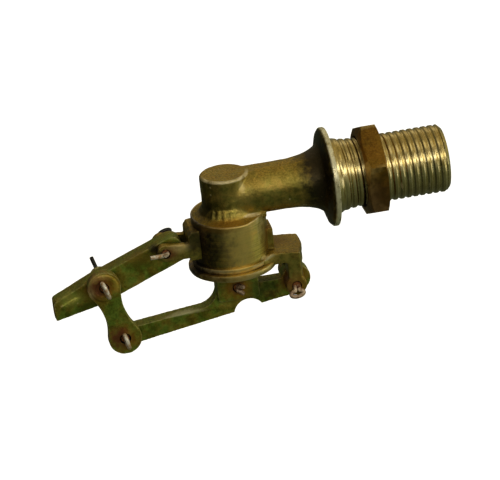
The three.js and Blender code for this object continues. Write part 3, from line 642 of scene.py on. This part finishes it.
pin_rusty = plain(
    "pin_wire_rusty", (0.16, 0.05, 0.02), (0.8, 0.62, 0.42), scale=0.8, roughness=0.4, metallic=0.3,
    grime_and_shade=(0.06, 0.018, 0.01), rear=SHADE)

rubber = plain("disc_rubber_black", (0.015, 0.015, 0.014), (0.035, 0.034, 0.032), scale=2.0, roughness=0.75)

fibre = plain("gasket_fibre_red", (0.22, 0.06, 0.04), (0.36, 0.12, 0.08), scale=3.0, roughness=0.85)


# Valve body: the forms of the casting

CAST_R = BARREL_R - 0.25
ROOT_X = OUTLET_X - 10
PAD_X = OUTLET_X - 13.6
COLLAR_R = 12.4
ARM_FILLET_R = 9.0
ARM_BLANK_HALF = 14


def tube():
    """The tube with the flare that rises to the flange."""
    flare_rise, flare_length, flare_end, steps = 4.0, 12.5, -3.0, 12
    flare = []
    for i in range(steps + 1):
        t = math.pi / 2 * i / steps
        flare.append((TUBE_R + flare_rise * (1 - math.sin(t)), flare_end - flare_length * (1 - math.cos(t))))
    back = [(0, -0.3), (FLANGE_R - 0.4, -0.3), (FLANGE_R - 0.2, -1.4), (FLANGE_R - 0.8, -2.1)]
    return turned("tube", [*back, *flare, (TUBE_R, OUTLET_X), (0, OUTLET_X)], "x", (0, 0))


def neck():
    """The upright boss over the outlet, its spread foot, and the core that the turned barrel goes round."""
    side = NECK_R + 0.05
    return turned("neck", [
        (0, BOSS_TOP), (NECK_R - 0.55, BOSS_TOP), (side, BOSS_TOP - 0.55), (side, -2.4), (8.7, -5.1),
        (11.2, -6.15), (CAST_R, -6.7), (CAST_R, -21.9), (12.9, -22.1), (12.9, -23), (12.4, -23.6), (0, -23.6),
    ])


def web(name, half, top):
    """The rib under the tube, where it runs out over the cylinder's top."""
    near = [(-30.8, half + 0.7), (-27, half + 0.1), (-23.8, half - 0.1), (-21.7, half - 1.6)]
    return slab(name, [(x, -y) for x, y in near] + list(reversed(near)), -7.5, top)


def pads():
    """The pads on the barrel that the lug and the arm grow from."""
    left = [(PAD_X, -17.9), (ROOT_X, -17.9), (ROOT_X, -8.5), (PAD_X + 1, -8.6), (PAD_X, -9.8)]
    right_low, right_high = (OUTLET_X + 10, -3.6, -20.5), (OUTLET_X + 12.7, 3.6, -12.2)
    return [extruded("left_pad", left, -LUG_HALF, LUG_HALF), box("right_pad", right_low, right_high)]


def fulcrum_arm():
    """The arm out to the fulcrum and down to it. In plan it meets the collar in a fillet on each side."""
    fillet_y = ARM_HALF + ARM_FILLET_R
    fillet_x = math.sqrt((COLLAR_R + ARM_FILLET_R)**2 - fillet_y**2)
    meet = math.atan2(fillet_y, fillet_x)
    side = arc(OUTLET_X + fillet_x, -fillet_y, ARM_FILLET_R, math.pi - meet, math.pi / 2, 8, True)
    x, z = FULCRUM
    plan = [(OUTLET_X, 0), *side, (x + 1.9, -ARM_HALF), (x + 4.3, 2.2), (x + 4.3, ARM_HALF)]
    plan += [(x, -y) for x, y in reversed(side)]
    arm = extruded("arm", rounded([
        (OUTLET_X + 5, -18.5, 0), (OUTLET_X + 5, ARM_UNDERSIDE, 0), (x - 2.1, ARM_UNDERSIDE, 0.8),
        (x - 2.1, z, 0), (x + 2.9, z, 0), (x + 4.1, z + 4, 2), (x + 4.1, -20.2, 1),
    ]), -ARM_BLANK_HALF, ARM_BLANK_HALF)
    return combined(arm, [slab("plan", plan, -45, 0)], "INTERSECT")


def ears():
    """The two ears that hold the float lever."""
    x, z = FLOAT_PIVOT
    outline = [(ROOT_X, z + 1.2), (x, z + 2.6), (x, z - 2.6), (ROOT_X, z - 3.0)]
    made = []
    for y0, y1 in ((-LUG_HALF, -LUG_GAP_HALF), (LUG_GAP_HALF, LUG_HALF)):
        made += [extruded("ear", outline, y0, y1), bar_y("ear_eye", FLOAT_PIVOT, 2.7, y0, y1)]
    return made


def crease(p):
    """Where the casting is smoothed most: between the boss and the tube."""
    if p.z >= 3.6:
        return 0
    along = share((p.x - OUTLET_X - 0.5) / 2) * share((OUTLET_X + 11 - p.x) / 3)
    return along * (share((p.z + 5.4) / 2) * share((3.6 - p.z) / 3))


# Valve body: what is pressed into the casting's surface

COMB_RADIUS = (7, 9.2)
COMB_HEIGHT = (-5.6, -2.2)
COMB_TURN = (-142, -82)
COMBS_ROUND = 25
COMB_AT = -91.1


def comb_marks(p):
    """The upright marks round the front of the boss's foot, as moves away from the outlet's axis."""
    across, along = p.x - OUTLET_X, p.y
    radius = math.hypot(across, along)
    if not (COMB_RADIUS[0] < radius < COMB_RADIUS[1] and COMB_HEIGHT[0] < p.z < COMB_HEIGHT[1]):
        return
    around = math.degrees(math.atan2(along, across))
    where = share((around - COMB_TURN[0]) / 8) * share((COMB_TURN[1] - around) / 8)
    depth = 0.11 + 0.12 * noise.noise(Vector((around * 0.11, p.z * 0.2, 4.0)))
    fade = min(1, (p.z - COMB_HEIGHT[0]) / 0.9, (COMB_HEIGHT[1] - p.z) / 0.9)
    mark = depth * math.cos(math.radians(COMBS_ROUND * (around - COMB_AT))) * fade
    p += Vector((across, along, 0)) / radius * mark * where


GUSSET_AT = (-18.5, -7.4)
GUSSET_WAY = (-0.4255, -0.904)
GUSSET_TOP = -18.4
GUSSET_FALL = 0.397
GUSSET_FOOT = -21.6


def arm_slope(p):
    """The arm's top falls away along GUSSET_WAY, from GUSSET_AT to the collar."""
    out = math.hypot(p.x - OUTLET_X, p.y)
    way = GUSSET_WAY[0] * (p.x - GUSSET_AT[0]) + GUSSET_WAY[1] * (p.y - GUSSET_AT[1])
    if out > 11.6 and way > 0 and p.x > OUTLET_X and GUSSET_FOOT < p.z < -17.5:
        p.z = min(p.z, max(GUSSET_TOP - GUSSET_FALL * way, GUSSET_FOOT))


def boss_top(p):
    """The boss's top is flat but for its lumps, and the tube's crown rises from it."""
    if p.z > BOSS_TOP and p.x < OUTLET_X + 16:
        crown = max(BOSS_TOP, BOSS_TOP + (p.x - OUTLET_X - 6) * 0.07)
        p.z = min(p.z, crown + 0.05 * noise.noise(p * 0.9))


def shoulder_tilt(p):
    """The barrel's top edge leans: it stands higher at the back and towards the lug."""
    across, along = p.x - OUTLET_X, p.y
    if math.hypot(across, along) > 8:
        near_top = share((p.z + 10) / 3) * share((-2.5 - p.z) / 2.5)
        p.z += 0.055 * (along - 0.5 * min(across, 4)) * near_top * share((8 - across) / 4)


def pressed(obj, *presses):
    """Each press changes a vertex's place."""
    for v in obj.data.vertices:
        place = v.co.copy()
        for press in presses:
            press(place)
        v.co = place


def body_casting():
    eyes = bar_y("eyes", FULCRUM, LEG_EYE_R, -ARM_HALF, ARM_HALF)
    forms = [tube(), neck(), *pads(), web("web", 6.3, -3.0), web("bead", 6.8, -5.55)]
    casting = together("casting", forms + [fulcrum_arm(), eyes, *ears()])
    cast(casting, voxel=0.25, smoothing=4, lump=0.08, seed=3.1, grow=0.04, zones=[(crease, 60)])
    pressed(casting, comb_marks, arm_slope, boss_top)
    x, z = FULCRUM
    reach = 2 * LEG_EYE_R
    leg_slot = box("slot", (x - reach, -2.5, z - reach), (x + reach, 2.5, ARM_UNDERSIDE))
    x, z = FLOAT_PIVOT
    lug_slot = box("lug_slot", (x - 5, -LUG_GAP_HALF, z - 6), (PAD_X + 0.1, LUG_GAP_HALF, z + 7))
    dressed(casting, cast_brass)
    return cut(casting, [leg_slot, lug_slot], cast_brass)


# Valve body: the shank, the turned forms and the bores

def thread(name):
    """The shank's thread as one closed mesh, worn and filleted between the flange and the nut."""
    around, step, start, chamfer = 120, 0.13, -0.6, 1.1
    count = int(SHANK / step)
    verts, faces = [], []
    for i in range(count + 1):
        x = start + (SHANK - start) * i / count
        depth = 0.08 + 0.26 * share((x - 1.2) / 3) + 0.04 * share((x - NUT_NEAR) / 5)
        fillet = 1.9 * math.exp(-max(0, x) / 3.0) * share((NUT_NEAR - x) / 2)
        limit = THREAD_R + 2 * (x < NUT_NEAR) - max(0, x - (SHANK - chamfer))
        for k in range(around):
            t = 2 * math.pi * k / around
            phase = (x / PITCH - t / (2 * math.pi)) % 1
            wave = share(1.5 * (0.5 - 0.5 * math.cos(2 * math.pi * phase)) - 0.42)
            chip = abs(0.05 * noise.noise(Vector((x * 0.9, 3 * math.cos(t), 3 * math.sin(t)))))
            r = min(THREAD_R - depth * wave**1.2 - chip + fillet, limit)
            verts.append((x, r * math.cos(t), r * math.sin(t)))
    for i in range(count):
        for k in range(around):
            n = (k + 1) % around
            faces.append((i * around + k, i * around + n, (i + 1) * around + n, (i + 1) * around + k))
    ends = len(verts)
    verts += [(start, 0, 0), (SHANK, 0, 0)]
    last = count * around
    for k in range(around):
        n = (k + 1) % around
        faces.append((ends, n, k))
        faces.append((ends + 1, last + k, last + n))
    return new_object(name, verts, faces)


def barrel():
    """The turned outside of the outlet, with the lip and the rim at its foot."""
    groove_r, lip_r, rim_r = 12.1, 12.4, 13.7
    return turned("barrel", [
        (0, -6.7), (10.4, -6.5), (10.9, -5.95), (CAST_R, -5.9), (BARREL_R, -6.2), (BARREL_R, -19.95),
        (12.15, -20.0), (lip_r, -20.2), (lip_r, -21.1), (12.3, -21.35), (groove_r, -21.45), (groove_r, -21.6),
        (13.3, -21.65), (13.6, -21.8), (rim_r, -22.1), (rim_r, -23.0), (13.4, -23.6), (12.6, BARREL_FOOT),
        (0, BARREL_FOOT),
    ], segments=180)


def flange():
    return turned("flange", [
        (0, -1.0), (14.6, -1.7), (15.05, -1.6), (15.27, -1.35), (FLANGE_R, -1.1), (FLANGE_R, -0.25),
        (15.1, -0.02), (14.9, 0), (12.6, 0), (0, 0.3),
    ], "x", (0, 0), 180)


def bores():
    """The inlet's bore, the way down past the nozzle's seat to the open chamber, and the pin holes."""
    mouth_r, inlet_r, waterway_r = 8.5, 6.5, 4.9
    nozzle_r, gasket_r, chamber_r = 4.3, 6.3, 8.5
    inlet = turned("inlet", [
        (0, 37), (mouth_r, 37), (inlet_r, SHANK - 0.6), (inlet_r, 4.6), (waterway_r, 3.1),
        (waterway_r, OUTLET_X), (0, OUTLET_X - 3),
    ], "x", (0, 0), 96)
    down = turned("down", [
        (0, 0), (nozzle_r, 0), (nozzle_r, -6.3), (gasket_r, -6.3), (gasket_r, -10), (chamber_r, -10),
        (chamber_r, BARREL_FOOT + 0.6), (chamber_r + 1.6, BARREL_FOOT - 1), (0, BARREL_FOOT - 1),
    ], segments=96)
    return [inlet, down, pin_hole(FLOAT_PIVOT, -20, 20), pin_hole(FULCRUM, -20, 20)]


def valve_body():
    body = body_casting()
    added = [(barrel(), turned_brass), (flange(), rim_brass), (thread("shank"), thread_brass)]
    combined(body, [dressed(form, material) for form, material in added], "UNION")
    cut(body, bores(), bore_brass)
    pressed(body, shoulder_tilt)
    placed(body, "body_casting", "valve", "valve_body")


# Back nut

def nut_bore():
    """The nut's bore: rings for its thread, and a countersink at each end."""
    crest_r, root_r, countersink_r = 10.8, 11.25, 11.5
    profile = []
    x = NUT_NEAR + 0.5
    while x < NUT_FAR - 0.5:
        turns = ((crest_r, 0), (root_r, 0.25), (root_r, 0.5), (crest_r, 0.75))
        profile += [(r, x + PITCH * part) for r, part in turns]
        x += PITCH
    profile = [p for p in profile if p[1] < NUT_FAR - 0.45]
    near = [(0, NUT_NEAR - 0.65), (countersink_r, NUT_NEAR - 0.65), (10.85, NUT_NEAR + 0.35)]
    far = [(10.85, NUT_FAR - 0.4), (12.8, NUT_FAR + 1.6), (0, NUT_FAR + 1.6)]
    return turned("bore", near + profile + far, "x", (0, 0), 120)


def back_nut():
    corner = NUT_FLATS / math.sqrt(3)
    turn = math.radians(23.8)
    hexagon = []
    for x in (NUT_NEAR, NUT_FAR):
        for k in range(6):
            a = math.pi - turn - math.pi / 3 * k
            hexagon.append((x, corner * math.cos(a), corner * math.sin(a)))
    faces = [tuple(range(6)), tuple(range(11, 5, -1))]
    faces += [(k, (k + 1) % 6, (k + 1) % 6 + 6, k + 6) for k in range(6)]
    nut = new_object("nut", hexagon, faces)
    chamfers = [(0, NUT_NEAR), (12.4, NUT_NEAR), (corner, NUT_NEAR + 1.4), (corner, NUT_FAR - 0.7),
                (13.7, NUT_FAR), (0, NUT_FAR)]
    combined(nut, [turned("bevel", chamfers, "x", (0, 0), 180)], "INTERSECT")
    dressed(nut, nut_brass)
    cut(nut, [nut_bore()], bore_brass)
    modified(nut, "BEVEL", width=0.22, segments=3, limit_method="ANGLE", angle_limit=math.radians(28))
    placed(nut, "nut", "valve", "back_nut")


# Levers and link

BAR_HALF = 2.2


def float_lever():
    """The bar and, at its end, the boss that the float rod screws into. It is drawn level and then hung."""
    depth, sink, end, boss_sink = 8.3, 1.15, 39.25, 0.7
    top, foot = depth / 2 - sink, -depth / 2 - sink
    bar = extruded("bar", rounded([
        (5.6, top, 3), (-24.8, top, 0), (-37.4, 2.05, 1.4), (-end, -3.65, 0.4), (-24.8, foot - 0.6, 0),
        (5.6, foot - 0.4, 1.5),
    ]), -2.7, 2.7)
    boss = turned("boss", [(0, -end), (2.5, -end), (2.95, -35.2), (2.95, -31.2), (2.5, -27), (0, -27)],
                  "x", (0, -boss_sink), 72)
    lever = together("lever", [bar, boss])
    cast(lever, voxel=0.2, smoothing=5, lump=0.07, seed=11.7, grow=0.07)
    lever.data.transform(hung(FLOAT_PIVOT, -DROOP))
    dressed(lever, lever_brass)
    end_x = FLOAT_PIVOT[0] - end * math.cos(DROOP) + 3.05 * math.sin(DROOP)
    cut(lever, [box("beyond", (end_x - 10, -10, -50), (end_x, 10, 0))], lever_brass)
    rod_hole = turned("rod_hole", [(0, -42), (2.1, -42), (2.1, -30.8), (0, -29.8)], "x", (0, -boss_sink), 48)
    rod_hole.data.transform(hung(FLOAT_PIVOT, -DROOP))
    cut(lever, [rod_hole, pin_hole(FLOAT_PIVOT, -6, 6), pin_hole(LINK_TOP, -6, 6)], bore_brass)
    placed(lever, "float_lever_forging", "float_arm", "float_lever")


def link_plate():
    """A waisted plate with an eye at each end and a raised ring round the upper one."""
    half, waist, eye, front, back = LINK_LENGTH / 2, 3.25, 5.1, -6.0, -3.0
    flank = (half**2 + waist**2 - eye**2) / (2 * (eye - waist))
    meet = math.atan2(waist + flank, half)
    outline = arc(0, 0, eye, meet, 2 * math.pi - meet, 40)
    outline += arc(half, -waist - flank, flank, math.pi - meet, meet, 24)
    outline += arc(LINK_LENGTH, 0, eye, meet - math.pi, math.pi - meet, 40)
    outline += arc(half, waist + flank, flank, -meet, meet - math.pi, 24)
    raised = [(2.5, 0.2), (2.6, -0.15), (2.95, -0.3), (3.9, -0.3), (4.25, -0.15), (4.35, 0.2)]
    ring = turned("ring", [(r, front + y) for r, y in raised], "y", (0, 0), 96)
    plate = together("plate", [extruded("blank", outline, front, back), ring])
    cast(plate, voxel=0.17, smoothing=5, lump=0.04, seed=5.3, grow=0.05)
    turn = math.atan2(LINK_TOP[1] - LINK_FOOT[1], LINK_FOOT[0] - LINK_TOP[0])
    plate.data.transform(hung(LINK_TOP, turn))
    dressed(plate, lever_brass)
    cut(plate, [pin_hole(LINK_TOP, -8, 0), pin_hole(LINK_FOOT, -8, 0, FOOT_HOLE_R)], bore_brass)
    placed(plate, "link_plate_forging", "link", "link_plate")


def lower_lever():
    """The cranked bar from the link's foot to the fulcrum, and the slotted hub that lifts the plunger."""
    px, pz = PLUNGER_PIN
    fx, fz = FULCRUM
    lx, lz = LINK_FOOT
    left, right, top, foot = px - 6.2, px + 6.6, pz + 3.2, pz - 4
    end_x = fx + 0.8
    bar = extruded("bar", rounded([
        (lx, lz + 1.3, 0), (lx, lz - 4.45, 0), (px - 1, pz - 8.5, 0), (px + 7.5, fz - 6.2, 0.8),
        (end_x, fz - 4.8, 0), (end_x, fz + 0.9, 0), (right, fz + 0.9, 0.8), (right, top, 0.8),
        (left, top, 0.8), (left, foot - 0.1, 6), (left - 5, pz - 5.5, 0),
    ]), -BAR_HALF, BAR_HALF)
    corners = [(left, top, 0.8), (left, foot, 0.8), (right, foot, 0.8), (right, top, 0.8)]
    hub = extruded("hub", rounded(corners), -3.5, 3.5)
    eye = bar_y("eye", LINK_FOOT, 4.2, -BAR_HALF, BAR_HALF, 72)
    end = bar_y("end", (end_x, fz), 4.5, -BAR_HALF, BAR_HALF, 72)
    lever = together("lever", [bar, hub, eye, end])
    cast(lever, voxel=0.2, smoothing=5, lump=0.07, seed=21.9, grow=0.06)
    dressed(lever, lever_brass)
    cut(lever, [bar_y("scallop", (px + 3.1, pz - 9.6), 4.8, -8, 8, 96)], lever_brass)
    slot = box("slot", (px - 5.46, -1.8, pz - 3.56), (px + 5.46, 1.8, top + 2))
    cut(lever, [slot] + [pin_hole(pivot, -8, 8) for pivot in (LINK_FOOT, PLUNGER_PIN, FULCRUM)], bore_brass)
    placed(lever, "lower_lever_forging", "lower_arm", "lower_lever")


# Plunger, washers and split pins

def plunger():
    """The fluted guide that slides in the chamber, and its tongue in the lower lever's hub."""
    px, pz = PLUNGER_PIN
    stem_r, guide_r, foot = 5.6, 8.1, -24.5
    guide = turned("guide", [
        (0, -19.6), (stem_r - 0.15, -19.6), (stem_r, -19.75), (stem_r, -21.9), (guide_r - 0.15, -21.9),
        (guide_r, -22.05), (guide_r, foot + 0.15), (guide_r - 0.15, foot), (0, foot),
    ], segments=120)
    dressed(guide, turned_brass)
    flutes = []
    for k in range(4):
        a = 2 * math.pi * (k + 0.5) / 4
        centre = (OUTLET_X + 8.7 * math.cos(a), 8.7 * math.sin(a))
        flutes.append(turned("flute", [(0, -18), (2.4, -18), (2.4, -26), (0, -26)], "z", centre, 48))
    cut(guide, flutes, turned_brass)
    half, low, root = 3.8, pz - 2.4, foot + 0.5
    corners = [(px - half, root, 0), (px - half, low, 1.2), (px + half, low, 1.2), (px + half, root, 0)]
    combined(guide, [dressed(extruded("tongue", rounded(corners), -1.5, 1.5), turned_brass)], "UNION")
    slot = arc(px + 0.75, pz, HOLE_R, -math.pi / 2, math.pi / 2, 16, True)
    slot += arc(px - 0.35, pz, HOLE_R, math.pi / 2, 3 * math.pi / 2, 16, True)
    cut(guide, [extruded("eye", slot, -4, 4)], bore_brass)
    placed(guide, "plunger_turned", "plunger", "plunger")


def washer(name, pivot, y0, body, cad):
    y1 = y0 + 1.0
    ring = turned(name, [
        (HOLE_R, y0 + 0.1), (HOLE_R + 0.1, y0), (3.0, y0), (3.18, y0 + 0.15), (WASHER_R, y0 + 0.3),
        (WASHER_R, y0 + 0.7), (3.15, y0 + 0.88), (3.0, y1), (HOLE_R + 0.1, y1), (HOLE_R, y0 + 0.9),
    ], "y", pivot, 72)
    placed(dressed(ring, lever_brass), name, body, cad)


WIRE_R = 0.64
WIRE_OFFSET = 0.56


def swept(name, path, radius):
    """A round wire along a path of points, as a closed mesh."""
    curve = bpy.data.curves.new(name, "CURVE")
    curve.dimensions = "3D"
    curve.bevel_depth = radius
    curve.bevel_resolution = 5
    curve.use_fill_caps = True
    curve.resolution_u = 4
    spline = curve.splines.new("NURBS")
    spline.points.add(len(path) - 1)
    for point, place in zip(spline.points, path):
        point.co = (*place, 1)
    spline.order_u = 3
    spline.use_endpoint_u = True
    shell = linked(name, curve)
    graph = bpy.context.evaluated_depsgraph_get()
    mesh = bpy.data.meshes.new_from_object(shell.evaluated_get(graph))
    bpy.data.objects.remove(shell)
    return linked(name, mesh)


def split_pin(name, pivot, front, rear, out, plane, eye, legs, body, cad, wire):
    """A split pin as one bent wire round a rusty core: two legs through the hole and an eye at the head.

    front and rear are where the hole ends, and out is the way that the head faces: -1 is to the front.
    plane is the (x, z) direction in which the wire's halves lie apart. eye gives how the eye leans (x, z for
    each unit outwards), its reach, its half length along plane and its half width. Each leg has an (x, z)
    direction, a length and the angle by which it is bent over.
    """
    y_head = front - 0.4 if out < 0 else rear + 0.4
    y_tail = rear + 0.2 if out < 0 else front - 0.2
    lean, reach, half, width = eye
    side = Vector((plane[0], 0, plane[1])).normalized()
    outward = Vector((lean[0], out, lean[1])).normalized()
    inward = Vector((0, -out, 0))
    head = Vector((pivot[0], y_head, pivot[1]))
    tail = Vector((pivot[0], y_tail, pivot[1]))
    ends = []
    for sign, (direction, length, bend) in ((1, legs[0]), (-1, legs[1])):
        away = Vector((direction[0], 0, direction[1])).normalized()
        root = tail + side * sign * WIRE_OFFSET
        deep, wide = 0.7 + length * math.cos(math.radians(bend)), length * math.sin(math.radians(bend))
        ends.append([root, root + inward * 0.5 + away * 0.1, root + inward * 0.9 + away * 0.6,
                     root + inward * deep + away * wide])
    start = math.asin(WIRE_OFFSET / half)
    loop = []
    for k in range(25):
        a = start + (2 * math.pi - 2 * start) * k / 24
        loop.append(head + outward * (reach - width * math.cos(a)) + side * (half * math.sin(a)))
    throat = head + inward * 0.4
    loop = [throat + side * WIRE_OFFSET] + loop + [throat - side * WIRE_OFFSET]
    pin = swept(f"{name}_wire", list(reversed(ends[0])) + loop + ends[1], WIRE_R)
    core = bar_y("core", pivot, PIN_R, front + 0.12, rear - 0.12, 48)
    verts, faces, slots = gathered([pin, core])
    mesh = bpy.data.meshes.new(name)
    mesh.from_pydata(verts, [], faces)
    for material in (wire, rust_metal):
        mesh.materials.append(material)
    for face, slot in zip(mesh.polygons, slots):
        face.material_index = slot
    placed(linked(name, mesh), name, body, cad)


# The assembly

valve_body()
back_nut()
float_lever()
link_plate()
lower_lever()
plunger()
washer("top_washer", LINK_TOP, 3.0, "float_arm", "link_top_washer")
washer("foot_washer", LINK_FOOT, 2.5, "lower_arm", "link_foot_washer")
split_pin("pin_float_pivot", FLOAT_PIVOT, -LUG_HALF, LUG_HALF, out=1, plane=(1, 0.1),
          eye=((2.2, 2.2), 2.7, 1.6, 0.95), legs=(((-1, 0.4), 1.5, 40), ((-1, 0.06), 4.5, 80)),
          body="valve", cad="float_pivot_pin", wire=pin_metal)
split_pin("pin_link_top", LINK_TOP, -6.0, 4.0, out=-1, plane=(-0.3, 1),
          eye=((0.15, 0.0), 1.4, 2.6, 1.5), legs=(((-0.3, 0.95), 5.5, 48), ((0, -1), 2.4, 34)),
          body="float_arm", cad="link_top_pin", wire=pin_metal)
split_pin("pin_link_foot", LINK_FOOT, -6.0, 3.5, out=-1, plane=(-0.2, 1),
          eye=((0.1, -0.1), 1.4, 2.1, 1.5), legs=(((0, 1), 3.6, 34), ((0, -1), 3.6, 34)),
          body="lower_arm", cad="link_foot_pin", wire=pin_metal)
split_pin("pin_plunger", PLUNGER_PIN, -3.5, 3.5, out=1, plane=(0.3, 1),
          eye=((0, 0), 1.5, 1.6, 1.6), legs=(((1, 0.25), 1.9, 55), ((1, -0.55), 2.2, 60)),
          body="lower_arm", cad="plunger_pin", wire=pin_rusty)
split_pin("pin_fulcrum", FULCRUM, -ARM_HALF, ARM_HALF, out=-1, plane=(1, 0.05),
          eye=((-0.3, -2.1), 2.3, 2.0, 0.95), legs=(((0, 1), 3.6, 34), ((0, -1), 3.6, 34)),
          body="valve", cad="fulcrum_pin", wire=pin_rusty)

# The four hidden CAD nodes that stay, with better materials

KEPT = {"seat_nozzle": turned_brass, "nozzle_gasket": fibre, "seat_disc": rubber, "disc_cap": turned_brass}

for name, material in KEPT.items():
    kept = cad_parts[name]
    if not kept.material_slots:
        kept.data.materials.append(material)
    for slot in kept.material_slots:
        slot.material = material

# Stage: a floor and a dome of white paper, in metres

FLOOR_Z = -0.12
FLOOR_HALF = 4


def paper(name, glow):
    mat = bpy.data.materials.new(name)
    mat.use_nodes = True
    shader = mat.node_tree.nodes["Principled BSDF"]
    shader.inputs["Base Color"].default_value = (0.9, 0.9, 0.9, 1)
    shader.inputs["Roughness"].default_value = 0.9
    shader.inputs["Emission Color"].default_value = (1, 1, 1, 1)
    shader.inputs["Emission Strength"].default_value = glow
    return mat


def backdrop(obj, material):
    """Seen by the camera, but not by the metal, whose surroundings are the world and the softboxes."""
    obj.data.materials.append(material)
    obj.visible_glossy = False
    obj.visible_diffuse = False
    obj.visible_shadow = False


floor = [(x * FLOOR_HALF, y * FLOOR_HALF, FLOOR_Z) for x, y in ((-1, -1), (1, -1), (1, 1), (-1, 1))]
backdrop(new_object("floor", floor, [(0, 1, 2, 3)]), paper("paper_floor", 0.92))
dome = [(0, -4.1), (5.7, -4.1), (7, -1.5), (7, 3), (5, 6), (0, 7)]
backdrop(turned("dome", dome, "z", (0, 0), 48), paper("paper_dome", 1.0))

# Light: a dim world that is brighter to the right, and softboxes round the valve

world = bpy.data.worlds.new("studio")
bpy.context.scene.world = world
world.use_nodes = True
tree = world.node_tree
tree.nodes.clear()
direction = parts_of(tree, node(tree, "ShaderNodeTexCoord").outputs["Generated"])
upper = blend(tree, span(tree, direction["Y"], -0.4, 0.4), (0.19, 0.17, 0.11), (0.27, 0.24, 0.15))
sky = blend(tree, span(tree, direction["Z"], -0.12, 0.3), (0.075, 0.088, 0.056), upper)
side_light = span(tree, direction["X"], -1.0, 1.0, 0.12, 1.8)
background = node(tree, "ShaderNodeBackground", {"Color": sky, "Strength": side_light})
node(tree, "ShaderNodeOutputWorld", {"Surface": background.outputs[0]})

LIT_POINT = Vector((-0.03, 0, -0.012))
LIGHT_DISTANCE = 1.3


def towards(azimuth, elevation):
    """The direction from the valve to a place in front of it, turned to the right and raised."""
    level = math.cos(elevation)
    return Vector((math.sin(azimuth) * level, -math.cos(azimuth) * level, math.sin(elevation)))


def softbox(name, azimuth, elevation, size, radiance, colour=(1, 0.97, 0.9)):
    back = towards(math.radians(azimuth), math.radians(elevation))
    light = bpy.data.lights.new(name, "AREA")
    light.shape = "RECTANGLE"
    light.size, light.size_y = size
    light.energy = radiance * math.pi * size[0] * size[1]
    light.color = colour
    obj = linked(name, light)
    obj.location = LIT_POINT + back * LIGHT_DISTANCE
    obj.rotation_mode = "QUATERNION"
    obj.rotation_quaternion = (-back).to_track_quat("-Z", "Y")


for k, radiance in enumerate((1.3, 1.6, 1.8, 1.8, 1.9, 2.4, 2.8)):
    softbox(f"strip_{k}", -44 + 18 * k, 28, (0.42, 0.26), radiance)
softbox("low_right", 72, -8, (0.5, 0.4), 1.3)
softbox("top", 30, 75, (0.6, 0.6), 0.7, (1, 0.94, 0.8))
softbox("rear", 170, 35, (0.9, 0.4), 0.45)

# Camera, fitted to the photo: AIM in mm is seen at the pixel AIM_AT, at SCALE pixels to the millimetre

AZIMUTH, ELEVATION, ROLL = math.radians(-8.3644), math.radians(23.8132), math.radians(6.1903)
SCALE, DISTANCE = 3.2681, 1008.43
AIM = Vector((-25.0, 0.0, -12.0))
AIM_AT = (254.498, 225.330)
PHOTO_WIDTH, PHOTO_HEIGHT = 500, 480
SENSOR = 36

back = towards(AZIMUTH, ELEVATION)
level = Vector((math.cos(AZIMUTH), math.sin(AZIMUTH), 0))
rise = back.cross(level)
right = level * math.cos(ROLL) - rise * math.sin(ROLL)
upward = level * math.sin(ROLL) + rise * math.cos(ROLL)
focal = SCALE * DISTANCE
aside, above = (AIM_AT[0] - PHOTO_WIDTH / 2) / focal, (PHOTO_HEIGHT / 2 - AIM_AT[1]) / focal
look = (-back - right * aside - upward * above).normalized()
across = look.cross(upward).normalized()
camera = linked("camera", bpy.data.cameras.new("camera"))
camera.data.sensor_width = SENSOR
camera.data.lens = focal * SENSOR / PHOTO_WIDTH
camera.data.clip_start, camera.data.clip_end = 0.05, 50
turn = Matrix((across, across.cross(look), -look)).transposed().to_4x4()
camera.matrix_world = Matrix.Translation((AIM + back * DISTANCE) * METRES) @ turn
bpy.context.scene.camera = camera
bpy.context.scene.view_settings.view_transform = "Standard"
